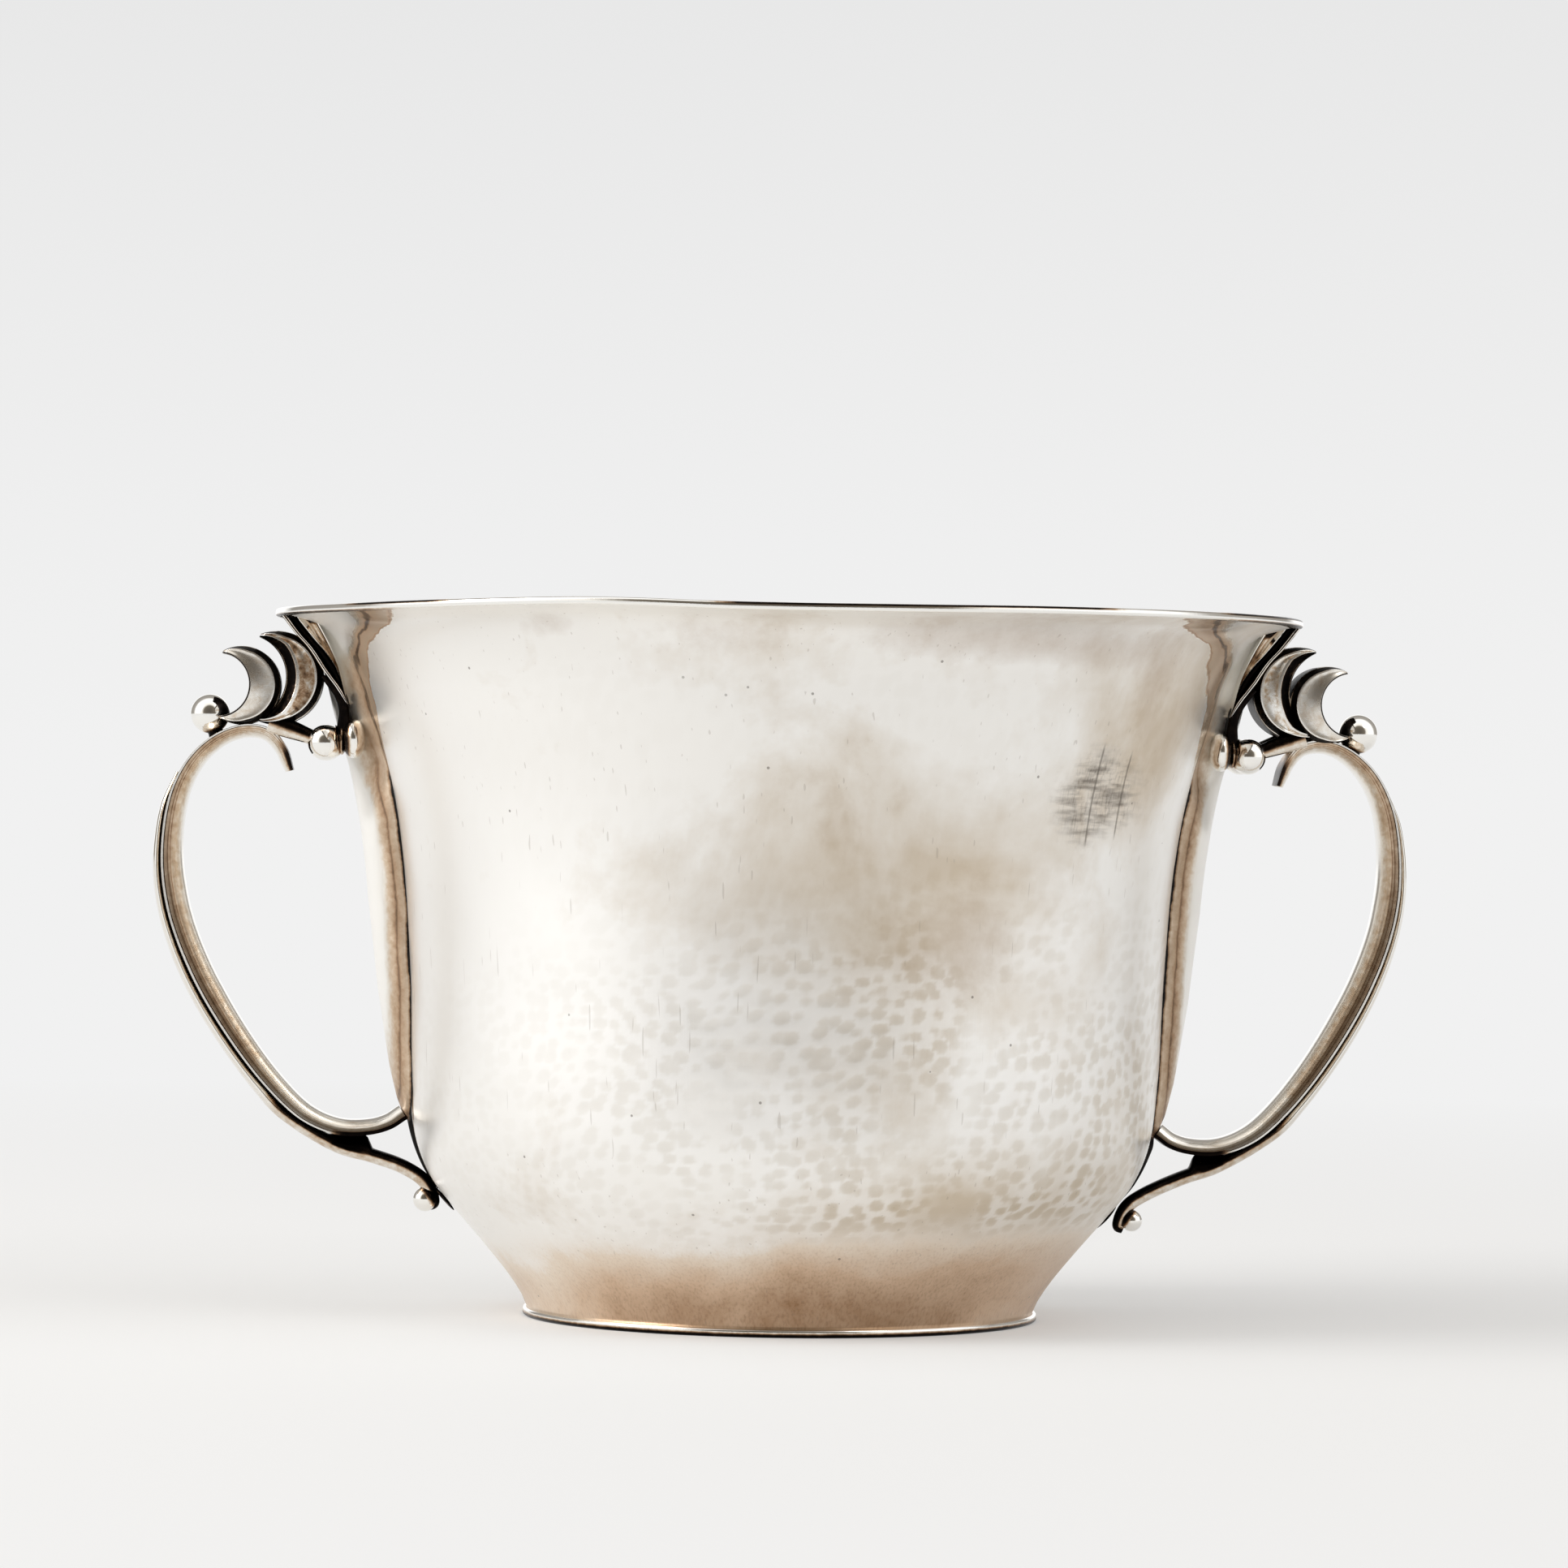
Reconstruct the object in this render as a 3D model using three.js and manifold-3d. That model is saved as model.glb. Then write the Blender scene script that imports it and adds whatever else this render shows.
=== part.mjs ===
// A hand-raised silver bowl with a bell-shaped mouth and two open scroll handles.
// Millimetres, +Z up. The origin is on the table under the centre of the bowl, and the handles
// lie along X, so that -Y is the front of the bowl.
import * as THREE from "three";
import { mergeVertices } from "three/addons/utils/BufferGeometryUtils.js";
import Module from "manifold-3d";

const wasm = await Module();
wasm.setup();

// Space left between pieces that are soldered together.
const SEAM = 0.3;

// The vessel.
const BOWL_HEIGHT = 116.2;
const MOUTH_RADIUS = 85.2;
const SHEET = 1.1;
const RIM_WIRE_WIDTH = 1.7;
const RIM_WIRE_HEIGHT = 1.2;
const FOOT_RING_HEIGHT = 1.3;
const FOOT_RING_RADIUS = 42.7;
const FOOT_RING_WIDTH = 2.4;
const SKIRT_SETBACK = 0.7;
const FLOOR_HEIGHT = 5.0;
const FLOOR_THICKNESS = 1.3;
const FLOOR_CORNER = 5.5;
const FLOOR_INSET = 1.2;

// Outside of the wall above the skirt: share of the way from the skirt's radius out to the
// waist's, and height over the table. A wider mouth has a wider waist.
const LOWER_WALL = [
  [0.033, 3.0],
  [0.138, 6.4],
  [0.329, 11.4],
  [0.571, 17.3],
  [0.771, 22.6],
  [0.9, 29.0],
  [0.957, 38.0],
];
const WAIST_PER_MOUTH = 0.7394;
const WAIST_HEIGHT = 56.0;
// The flare of the mouth: share of the way from the waist's radius out to the mouth's, and
// depth below the rim's top.
const FLARE = [
  [0.063, 41.2],
  [0.162, 28.2],
  [0.297, 18.2],
  [0.423, 9.8],
  [0.545, 5.0],
  [0.66, 2.7],
  [0.79, 1.7],
];
const LIP_EDGE_DROP = 1.1;

// The side rib: depth below the rim, how far it stands out of the wall, and half its width.
const RIB_TOP_DROP = RIM_WIRE_HEIGHT + SEAM;
const RIB_FOOT_DROP = 84.9;
const RIB_ROOT = 3.0;
const RIB_OUTLINE = [
  [RIB_TOP_DROP, 2.6, 6.4],
  [3.0, 3.8, 6.4],
  [8.0, 4.7, 6.2],
  [16.0, 5.4, 6.1],
  [30.0, 5.6, 6.0],
  [48.0, 5.5, 5.6],
  [63.0, 4.6, 5.0],
  [76.0, 3.0, 4.2],
  [82.6, 1.8, 3.4],
  [RIB_FOOT_DROP, 0.5, 1.4],
];

// The grip. Its flat back is a curve given as distance out of the wall and depth below the rim.
const STRAP_BACK = [
  [14.8, 26.0],
  [15.0, 22.6],
  [16.5, 19.8],
  [19.9, 19.0],
  [24.8, 20.3],
  [30.5, 24.0],
  [35.4, 30.2],
  [38.5, 40.2],
  [38.4, 49.7],
  [35.0, 60.9],
  [29.0, 71.9],
  [22.7, 80.6],
  [17.8, 85.4],
  [12.7, 87.5],
  [7.4, 87.1],
  [4.1, 85.2],
  [2.7, 82.8],
];
const STRAP_TOP_DROP = 19.0;
// Share of the grip's length, with thickness and half-width there.
const STRAP_THICKNESS = [
  [0, 0.5],
  [0.05, 1.6],
  [0.12, 2.1],
  [0.28, 3.3],
  [0.42, 3.9],
  [0.6, 3.8],
  [0.75, 3.2],
  [0.86, 2.5],
  [0.95, 2.0],
  [1, 0.5],
];
const STRAP_HALF_WIDTH = [
  [0, 3.2],
  [0.05, 4.2],
  [0.14, 4.7],
  [0.5, 4.5],
  [0.8, 4.0],
  [0.93, 3.4],
  [1, 1.4],
];

// The spine follows the grip's back from one share of its length to another, then runs on
// to the foot of the wall as a leg and curls round a bead.
const SPINE_START = 0.24;
const SPINE_LEAVES = 0.8;
const LEG = [
  [12.6, 89.3],
  [8.2, 91.2],
  [5.1, 93.1],
  [3.4, 94.6],
  [2.6, 95.9],
  [2.2, 97.3],
  [2.4, 98.7],
  [3.3, 99.9],
  [4.6, 100.5],
  [5.8, 100.5],
];
// Share of the leg's steps, with the share of its length reached: the curl gets the most.
const SPINE_STEPS = [
  [0, 0],
  [0.62, 0.88],
  [1, 1],
];
const SPINE_THICKNESS = [
  [0, 0.4],
  [0.14, 1.0],
  [0.34, 1.5],
  [0.55, 1.5],
  [0.66, 1.9],
  [0.8, 2.1],
  [0.88, 1.6],
  [0.93, 1.0],
  [1, 0.7],
];
const SPINE_HALF_WIDTH = [
  [0, 1.0],
  [0.3, 2.4],
  [0.6, 2.6],
  [0.8, 2.2],
  [0.92, 1.5],
  [1, 1.2],
];
const BEAD_RADIUS = 1.35;
const BEAD_PLACE = [5.3, 98.7];
const PAD_PLACE_DROP = 97.9;
const PAD_HALF_LENGTH = 2.3;
const PAD_HALF_WIDTH = 3.0;
const PAD_THICKNESS = 0.5;

// The two crescents: centres of the outer and the hollow circle, and their radii.
const SMALL_CRESCENT = { outer: [19.3, 12.7], outerRadius: 6.5, hollow: [23.2, 12.6], hollowRadius: 5.2 };
const LARGE_CRESCENT = { outer: [13.1, 11.4], outerRadius: 7.75, hollow: [18.6, 11.3], hollowRadius: 7.1 };
const CRESCENT_HALF_DEPTH = 6.3;
const CRESCENT_BEVEL = 1.4;
const TOP_BALL_RADIUS = 3.1;
const TOP_BALL_PLACE = [25.7, 17.1];
const TOP_BALL_NECK_RADIUS = 1.2;

// The twin fittings that carry the handle on the rib, one in front and one behind.
const FITTING_Y = 5.1;
const OUTER_BALL_RADIUS = 2.97;
const OUTER_BALL_PLACE = [8.1, 21.7];
const INNER_BALL_RADIUS = 3.05;
const INNER_BALL_FLATTEN = 0.78;
const INNER_BALL_RISE = 0.7;
const INNER_BALL_SPLAY = 0.9;
const COLLAR_LENGTH = 1.9;
const COLLAR_SETBACK = 2.2;
const COLLAR_RADIUS = 2.3;
const COLLAR_GROOVE = 0.5;
const STRUT_START = [13.6, 20.0];
const STRUT_START_Y = 3.8;
const STRUT_HALF_HEIGHT = 1.4;
const STRUT_HALF_WIDTH = 1.1;
const BRACKET_TIP = [2.4, 14.8];
const BRACKET_TOP_SETBACK = 0.7;
const BRACKET_TOP_DROP = 0.9;
const BRACKET_TOP_WIDTH = 6.6;
const BRACKET_BOW = 0.9;
const BRACKET_TIP_WIDTH = 0.5;
const BRACKET_FACE_Y = 7.9;
const BRACKET_BACK_Y = 3.4;
const GROOVE_DEPTH = 1.5;
const FLUTE_DEPTH = 0.8;
const POST_HALF_DEPTH = 1.2;
const POST_WIDTH = 1.6;
const POST_RISE = 2.4;
const WEB_REACH = 0.36;
const WEB_WIDTH = 1.2;

// The handles are hand-made and differ a little: how far each reaches out, how far it hangs, and
// how much closer to the wall and higher its leg ends.
const SIDES = [
  { name: "left", turn: Math.PI, reach: 1.012, sag: 0.988, legIn: 1.0, legUp: 0.7 },
  { name: "right", turn: 0, reach: 0.988, sag: 1.012, legIn: 0, legUp: 0 },
];
const FACES = [
  { name: "front", towards: -1 },
  { name: "rear", towards: 1 },
];

const BODY_SEGMENTS = 60;
const BODY_STATIONS = 16;

const silver = (roughness, colour = 0xe6e2da) =>
  new THREE.MeshStandardMaterial({ color: colour, roughness, metalness: 1 });
const hammered = () => silver(0.38);
const polished = () => silver(0.16);
const oxidised = () => silver(0.45, 0x3a3632);

// A closed geometry as a solid that can be joined and cut.
function solid(geometry) {
  const bare = geometry.index ? geometry.toNonIndexed() : geometry.clone();
  bare.deleteAttribute("normal");
  bare.deleteAttribute("uv");
  const merged = mergeVertices(bare, 1e-4);
  const triVerts = new Uint32Array(merged.index.array);
  if (volumeOf(merged) < 0) triVerts.reverse();
  return new wasm.Manifold(
    new wasm.Mesh({ numProp: 3, vertProperties: merged.attributes.position.array, triVerts }),
  );
}

// Six times the signed volume inside an indexed geometry, which is negative if it faces inwards.
function volumeOf(geometry) {
  const corner = [new THREE.Vector3(), new THREE.Vector3(), new THREE.Vector3()];
  let sum = 0;
  for (let i = 0; i < geometry.index.count; i += 3) {
    corner.forEach((v, k) => v.fromBufferAttribute(geometry.attributes.position, geometry.index.getX(i + k)));
    sum += corner[0].dot(corner[1].clone().cross(corner[2]));
  }
  return sum;
}

function geometryOf(made) {
  const mesh = made.getMesh();
  const geometry = new THREE.BufferGeometry();
  geometry.setAttribute("position", new THREE.BufferAttribute(new Float32Array(mesh.vertProperties), 3));
  geometry.setIndex(new THREE.BufferAttribute(new Uint32Array(mesh.triVerts), 1));
  geometry.computeVertexNormals();
  return geometry;
}

// What is left of a piece once its neighbours have taken their room; loose slivers fall away.
function trimmed(piece, neighbours) {
  const cut = neighbours.reduce((rest, other) => rest.subtract(other), piece);
  return cut.decompose().reduce((most, body) => (body.volume() > most.volume() ? body : most));
}

// A value given at a few places between 0 and 1, joined by straight lines.
function graded(stations, u) {
  const next = stations.findIndex(([place]) => place >= u);
  if (next <= 0) return stations[Math.max(next, 0)][1];
  const [u0, v0] = stations[next - 1];
  const [u1, v1] = stations[next];
  return THREE.MathUtils.lerp(v0, v1, (u - u0) / (u1 - u0));
}

// A closed skin over rings of points that all have the same number of corners.
function loft(rings) {
  const sides = rings[0].length;
  const centre = (ring) =>
    ring.reduce((sum, p) => sum.add(p), new THREE.Vector3()).divideScalar(sides);
  const points = [...rings.flat(), centre(rings[0]), centre(rings[rings.length - 1])];
  const firstHub = points.length - 2;
  const index = [];
  for (let j = 0; j < sides; j++) {
    const k = (j + 1) % sides;
    for (let i = 0; i + 1 < rings.length; i++) {
      const a = i * sides;
      const b = a + sides;
      index.push(a + j, a + k, b + k, a + j, b + k, b + j);
    }
    const last = (rings.length - 1) * sides;
    index.push(firstHub, k, j, firstHub + 1, last + j, last + k);
  }
  return new THREE.BufferGeometry().setFromPoints(points).setIndex(index);
}

function lathe(profile, segments = BODY_SEGMENTS) {
  const points = profile.map(([radius, height]) => new THREE.Vector2(radius, height));
  return new THREE.LatheGeometry(points, segments).rotateX(Math.PI / 2);
}

// The outside of the wall from the skirt up to the lip, as one smooth curve.
const skirtRadius = FOOT_RING_RADIUS - SKIRT_SETBACK;
const waistRadius = MOUTH_RADIUS * WAIST_PER_MOUTH;
const lipRadius = MOUTH_RADIUS - RIM_WIRE_WIDTH - SEAM;
const wallCurve = new THREE.CatmullRomCurve3(
  [
    [skirtRadius, FOOT_RING_HEIGHT],
    ...LOWER_WALL.map(([share, height]) => [THREE.MathUtils.lerp(skirtRadius, waistRadius, share), height]),
    [waistRadius, WAIST_HEIGHT],
    ...FLARE.map(([share, drop]) => [
      THREE.MathUtils.lerp(waistRadius, MOUTH_RADIUS, share),
      BOWL_HEIGHT - drop,
    ]),
    [lipRadius, BOWL_HEIGHT - LIP_EDGE_DROP],
  ].map(([radius, height]) => new THREE.Vector3(radius, 0, height)),
  false,
  "centripetal",
);
const wallSamples = wallCurve.getPoints(600);

function wallRadius(height) {
  const next = wallSamples.findIndex((p) => p.z >= height);
  if (next <= 0) return wallSamples[next < 0 ? wallSamples.length - 1 : 0].x;
  const [low, high] = [wallSamples[next - 1], wallSamples[next]];
  return THREE.MathUtils.lerp(low.x, high.x, (height - low.z) / (high.z - low.z));
}

// The wall's outside moved sideways by a distance: outwards if positive, inwards if negative.
function wallOffset(distance, steps) {
  return Array.from({ length: steps + 1 }, (_, i) => {
    const p = wallCurve.getPoint(i / steps);
    const t = wallCurve.getTangent(i / steps);
    return [p.x + t.z * distance, p.z - t.x * distance];
  });
}

// A point of the handle's plane, from its distance out of the wall and its depth below the rim.
function place([out, drop], side, towards = 0, y = 0) {
  const hang = Math.max(drop - STRAP_TOP_DROP, 0) * (side.sag - 1);
  const height = BOWL_HEIGHT - drop - hang;
  const far = drop > STRAP_TOP_DROP ? side.reach : 1;
  return new THREE.Vector3(wallRadius(height) + out * far, towards * y, height);
}

// The raised vessel: wall, flat inset floor and a skirt that stands on the foot ring.
function bowlBody() {
  const outside = wallOffset(0, BODY_STATIONS);
  const inside = wallOffset(-SHEET, BODY_STATIONS).filter(([, height]) => height > FLOOR_HEIGHT + FLOOR_CORNER);
  const underside = FLOOR_HEIGHT - FLOOR_THICKNESS;
  const skirtInside = skirtRadius - SHEET;
  const cornerRadius = inside[0][0];
  return lathe([
    [0, underside],
    [skirtInside - FLOOR_INSET, underside],
    [skirtInside, underside - 0.8],
    [skirtInside, FOOT_RING_HEIGHT],
    ...outside,
    [lipRadius, BOWL_HEIGHT],
    ...inside.reverse(),
    [cornerRadius - FLOOR_CORNER * 0.55, FLOOR_HEIGHT + FLOOR_CORNER * 0.36],
    [cornerRadius - FLOOR_CORNER * 1.4, FLOOR_HEIGHT],
    [0, FLOOR_HEIGHT],
  ]);
}

// The wall and the rim wire filled up solid and grown by a seam, to trim what is soldered on them.
function wallEnvelope() {
  const wireUnderside = BOWL_HEIGHT - RIM_WIRE_HEIGHT - SEAM;
  return solid(
    lathe([
      [0, 0],
      [skirtRadius, 0],
      ...wallOffset(SEAM, BODY_STATIONS),
      [MOUTH_RADIUS + 1, wireUnderside],
      [MOUTH_RADIUS + 1, BOWL_HEIGHT + 1],
      [0, BOWL_HEIGHT + 1],
    ]),
  );
}

function ring(outerRadius, width, bottom, height, corner) {
  const inner = outerRadius - width;
  const top = bottom + height;
  return lathe([
    [inner, bottom],
    [outerRadius - corner, bottom],
    [outerRadius, bottom + corner],
    [outerRadius, top - corner],
    [outerRadius - corner, top],
    [inner, top],
    [inner, bottom],
  ]);
}

// The half-round rib, as a column of half ovals that reach back into the wall.
function ribColumn(side, grow) {
  const arc = 10;
  const rings = RIB_OUTLINE.map(([drop, proud, halfWidth]) => {
    const foot = place([0, drop], side);
    const points = [];
    for (let i = 0; i <= arc; i++) {
      const angle = (i / arc - 0.5) * Math.PI;
      const out = foot.x + Math.cos(angle) * (proud + grow);
      points.push(new THREE.Vector3(out, Math.sin(angle) * (halfWidth + grow), foot.z));
    }
    const back = foot.x - RIB_ROOT;
    points.push(new THREE.Vector3(back, halfWidth + grow, foot.z));
    points.push(new THREE.Vector3(back, -halfWidth - grow, foot.z));
    return points;
  });
  return solid(loft(rings));
}

function strapCurve(side) {
  return new THREE.CatmullRomCurve3(STRAP_BACK.map((p) => place(p, side)), false, "centripetal");
}

// At a share of a curve in the handle's plane: its point, and the direction to its right.
function frameAt(curve, u) {
  const tangent = curve.getTangentAt(u);
  return { point: curve.getPointAt(u), right: new THREE.Vector3(tangent.z, 0, -tangent.x).normalize() };
}

// The grip is a D: flat on its back, and rounded towards the fingers.
function strap(side) {
  const curve = strapCurve(side);
  const steps = 34;
  const arc = 8;
  const rings = [];
  for (let i = 0; i <= steps; i++) {
    const { point, right } = frameAt(curve, i / steps);
    const thick = graded(STRAP_THICKNESS, i / steps);
    const wide = graded(STRAP_HALF_WIDTH, i / steps);
    rings.push(
      Array.from({ length: arc + 1 }, (_, k) => {
        const angle = (k / arc) * Math.PI;
        const p = point.clone().addScaledVector(right, Math.sin(angle) * thick);
        p.y = Math.cos(angle) * wide;
        return p;
      }),
    );
  }
  return solid(loft(rings));
}

// A broad band along the grip, a seam thicker than it, to trim what stands on the grip.
function strapRoom(side) {
  const curve = strapCurve(side);
  const steps = 34;
  const wide = CRESCENT_HALF_DEPTH * 2;
  const rings = [];
  for (let i = 0; i <= steps; i++) {
    const { point, right } = frameAt(curve, i / steps);
    const under = graded(STRAP_THICKNESS, i / steps) + SEAM;
    const corners = [
      [-SEAM, wide],
      [-SEAM, -wide],
      [under, -wide],
      [under, wide],
    ];
    rings.push(
      corners.map(([across, y]) => {
        const p = point.clone().addScaledVector(right, across);
        p.y = y;
        return p;
      }),
    );
  }
  return solid(loft(rings));
}

// Oval rings along a curve of the handle's plane.
function ovalBar(curve, steps, halfThickness, halfWidth, pace = (t) => t, sides = 8) {
  const rings = [];
  for (let i = 0; i <= steps; i++) {
    const u = pace(i / steps);
    const { point, right } = frameAt(curve, u);
    rings.push(
      Array.from({ length: sides }, (_, k) => {
        const angle = (k / sides) * Math.PI * 2;
        const p = point.clone().addScaledVector(right, Math.sin(angle) * halfThickness(u));
        p.y = point.y + Math.cos(angle) * halfWidth(u);
        return p;
      }),
    );
  }
  return solid(loft(rings));
}

// The spine: an oval bar laid along the grip's back, whose end becomes the leg and its curl.
function legPlace([out, drop], side) {
  const share = THREE.MathUtils.smoothstep(LEG[0][0] - out, 0, LEG[0][0] - LEG[3][0]);
  return place([out - side.legIn * share, drop - side.legUp * share], side);
}

function spineCurve(side) {
  const back = strapCurve(side);
  const followed = 9;
  const points = [];
  for (let i = 0; i <= followed; i++) {
    const u = THREE.MathUtils.lerp(SPINE_START, SPINE_LEAVES, i / followed);
    const { point, right } = frameAt(back, u);
    const half = graded(SPINE_THICKNESS, (i / followed) * 0.62) / 2;
    points.push(point.addScaledVector(right, -(half + SEAM)));
  }
  return new THREE.CatmullRomCurve3([...points, ...LEG.map((p) => legPlace(p, side))], false, "centripetal");
}

function spine(side, grow = 0) {
  return ovalBar(
    spineCurve(side),
    46,
    (u) => graded(SPINE_THICKNESS, u) / 2 + grow,
    (u) => graded(SPINE_HALF_WIDTH, u) + grow,
    (t) => graded(SPINE_STEPS, t),
  );
}

function ball(radius, centre, segments = 14) {
  return solid(
    new THREE.SphereGeometry(radius, segments, Math.round(segments * 0.6)).translate(centre.x, centre.y, centre.z),
  );
}

// A leaf-shaped pad that lies along the slope of the wall.
function pad(side) {
  const foot = place([0, PAD_PLACE_DROP], side);
  const slope = (wallRadius(foot.z + 1) - wallRadius(foot.z - 1)) / 2;
  const lean = Math.atan(slope);
  const proud = SEAM + PAD_THICKNESS / 2;
  return solid(
    new THREE.SphereGeometry(1, 12, 8)
      .scale(PAD_THICKNESS / 2, PAD_HALF_WIDTH, PAD_HALF_LENGTH)
      .rotateY(lean)
      .translate(foot.x + Math.cos(lean) * proud, 0, foot.z - Math.sin(lean) * proud),
  );
}

// A crescent between two circles, as eight-cornered rings from one horn to the other.
function crescent(shape, side, grow = 0, bevel = CRESCENT_BEVEL, halfDepth = CRESCENT_HALF_DEPTH) {
  const outer = place(shape.outer, side);
  const hollow = place(shape.hollow, side);
  const big = shape.outerRadius + grow;
  const small = shape.hollowRadius - grow;
  const apart = Math.hypot(hollow.x - outer.x, hollow.z - outer.z);
  const lean = Math.atan2(hollow.z - outer.z, hollow.x - outer.x);
  const along = (big ** 2 - small ** 2 + apart ** 2) / (2 * apart);
  const outerHorn = Math.acos(along / big);
  const hollowHorn = Math.acos((along - apart) / small);
  const steps = 18;
  const rings = [];
  for (let i = 0; i <= steps; i++) {
    const u = THREE.MathUtils.lerp(0.03, 0.97, i / steps);
    const a = lean + THREE.MathUtils.lerp(outerHorn, 2 * Math.PI - outerHorn, u);
    const b = lean + THREE.MathUtils.lerp(hollowHorn, 2 * Math.PI - hollowHorn, u);
    const back = new THREE.Vector2(outer.x + big * Math.cos(a), outer.z + big * Math.sin(a));
    const front = new THREE.Vector2(hollow.x + small * Math.cos(b), hollow.z + small * Math.sin(b));
    const inset = Math.min(bevel / back.distanceTo(front), 0.4);
    const deep = halfDepth * (0.6 + 0.4 * Math.sqrt(Math.sin(Math.PI * u)));
    const edge = deep - Math.min(bevel, deep * 0.4);
    const corners = [
      [0, edge],
      [inset, deep],
      [1 - inset, deep],
      [1, edge],
      [1, -edge],
      [1 - inset, -deep],
      [inset, -deep],
      [0, -edge],
    ];
    rings.push(
      corners.map(([share, y]) => {
        const p = back.clone().lerp(front, share);
        return new THREE.Vector3(p.x, y, p.y);
      }),
    );
  }
  return solid(loft(rings));
}

function topBall(side, room) {
  const centre = place(TOP_BALL_PLACE, side);
  const neck = new THREE.CylinderGeometry(TOP_BALL_NECK_RADIUS, TOP_BALL_NECK_RADIUS * 1.5, TOP_BALL_RADIUS * 1.5, 10);
  neck.translate(0, -TOP_BALL_RADIUS * 0.75, 0).rotateX(Math.PI / 2).rotateY(0.3);
  neck.translate(centre.x, centre.y, centre.z);
  return trimmed(ball(TOP_BALL_RADIUS, centre).add(solid(neck)), [room]);
}

// A ringed neck with its axis along X, between the outer and the inner ball.
function collar(centre, grow = 0) {
  const half = COLLAR_LENGTH / 2;
  const profile = [
    [0, -half - grow],
    [COLLAR_RADIUS - 0.2 + grow, -half - grow],
    [COLLAR_RADIUS + grow, -half * 0.5],
    [COLLAR_RADIUS - COLLAR_GROOVE + grow, 0],
    [COLLAR_RADIUS + grow, half * 0.5],
    [COLLAR_RADIUS - 0.2 + grow, half + grow],
    [0, half + grow],
  ];
  return solid(lathe(profile, 14).rotateY(Math.PI / 2).translate(centre.x, centre.y, centre.z));
}

// All the room on one side of a plane across X.
function halfSpace(x, direction) {
  const big = 40;
  return solid(new THREE.BoxGeometry(big, big * 2, big * 2).translate(x + (direction * big) / 2, 0, 95));
}

// A fluted leaf under the lip: its outer edge is straight, its inner edge bows along the rib,
// and its face has a deep groove, a ridge and a shallow flute that all run to its tip.
function bracket(side, towards, room) {
  const tip = place(BRACKET_TIP, side);
  const topOut = new THREE.Vector2(MOUTH_RADIUS - BRACKET_TOP_SETBACK, BOWL_HEIGHT - BRACKET_TOP_DROP);
  const topIn = new THREE.Vector2(topOut.x - BRACKET_TOP_WIDTH, topOut.y);
  const end = new THREE.Vector2(tip.x, tip.z);
  const bend = topIn.clone().lerp(end, 0.5).add(new THREE.Vector2(-BRACKET_BOW * 2, 0));
  const inner = new THREE.QuadraticBezierCurve(topIn, bend, end);
  const face = [
    [0, 0],
    [0.16, 0],
    [0.32, 1],
    [0.46, 0],
    [0.52, 0],
    [0.64, -0.75],
    [0.78, -1],
    [0.9, -0.6],
    [1, 0],
  ];
  const steps = 10;
  const rings = [];
  for (let i = 0; i <= steps; i++) {
    const t = i / steps;
    const out = topOut.clone().lerp(end, t).add(new THREE.Vector2(BRACKET_TIP_WIDTH * t, 0));
    const inn = inner.getPoint(t);
    const deep = 1 - t * 0.85;
    const corners = face.map(([share, cut]) => [
      share,
      BRACKET_FACE_Y - (cut > 0 ? cut * GROOVE_DEPTH : -cut * FLUTE_DEPTH) * deep,
    ]);
    corners.push([1, BRACKET_BACK_Y], [0, BRACKET_BACK_Y]);
    rings.push(
      corners.map(([share, y]) => {
        const p = out.clone().lerp(inn, share);
        return new THREE.Vector3(p.x, y * towards, p.y);
      }),
    );
  }
  return trimmed(solid(loft(rings)), room);
}

// The post rises from the collar and turns into a web along the bracket's outer edge.
function post(side, towards, collarTop, room) {
  const tip = place(BRACKET_TIP, side);
  const topOut = new THREE.Vector2(MOUTH_RADIUS - BRACKET_TOP_SETBACK, BOWL_HEIGHT - BRACKET_TOP_DROP);
  const foot = new THREE.Vector2(tip.x + BRACKET_TIP_WIDTH, tip.z);
  const webEnd = foot.clone().lerp(topOut, WEB_REACH);
  const along = topOut.clone().sub(foot).normalize();
  const off = new THREE.Vector2(along.y, -along.x);
  const left = tip.x - POST_WIDTH * 0.25;
  const outline = new THREE.Shape([
    new THREE.Vector2(left, collarTop),
    new THREE.Vector2(left + POST_WIDTH, collarTop),
    new THREE.Vector2(left + POST_WIDTH, collarTop + POST_RISE),
    foot.clone().addScaledVector(along, 1.6).addScaledVector(off, WEB_WIDTH + SEAM),
    webEnd.clone().addScaledVector(off, SEAM + 0.2),
    webEnd.clone().addScaledVector(off, SEAM),
    foot.clone().addScaledVector(off, SEAM),
    new THREE.Vector2(left, tip.z - SEAM),
  ]);
  const plate = new THREE.ExtrudeGeometry(outline, { depth: POST_HALF_DEPTH * 2, bevelEnabled: false });
  plate.rotateX(Math.PI / 2).translate(0, POST_HALF_DEPTH + FITTING_Y * towards, 0);
  return trimmed(solid(plate), room);
}

function strut(side, towards, room) {
  const start = place(STRUT_START, side, towards, STRUT_START_Y);
  const end = place(OUTER_BALL_PLACE, side, towards, FITTING_Y);
  const curve = new THREE.LineCurve3(start, end);
  return trimmed(ovalBar(curve, 3, () => STRUT_HALF_HEIGHT, () => STRUT_HALF_WIDTH), room);
}

const bowl = new THREE.Group();

function addPiece(group, name, shape, material) {
  const geometry = shape.isBufferGeometry ? shape : geometryOf(shape);
  const mesh = new THREE.Mesh(geometry, material);
  mesh.name = name;
  group.add(mesh);
}

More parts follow.
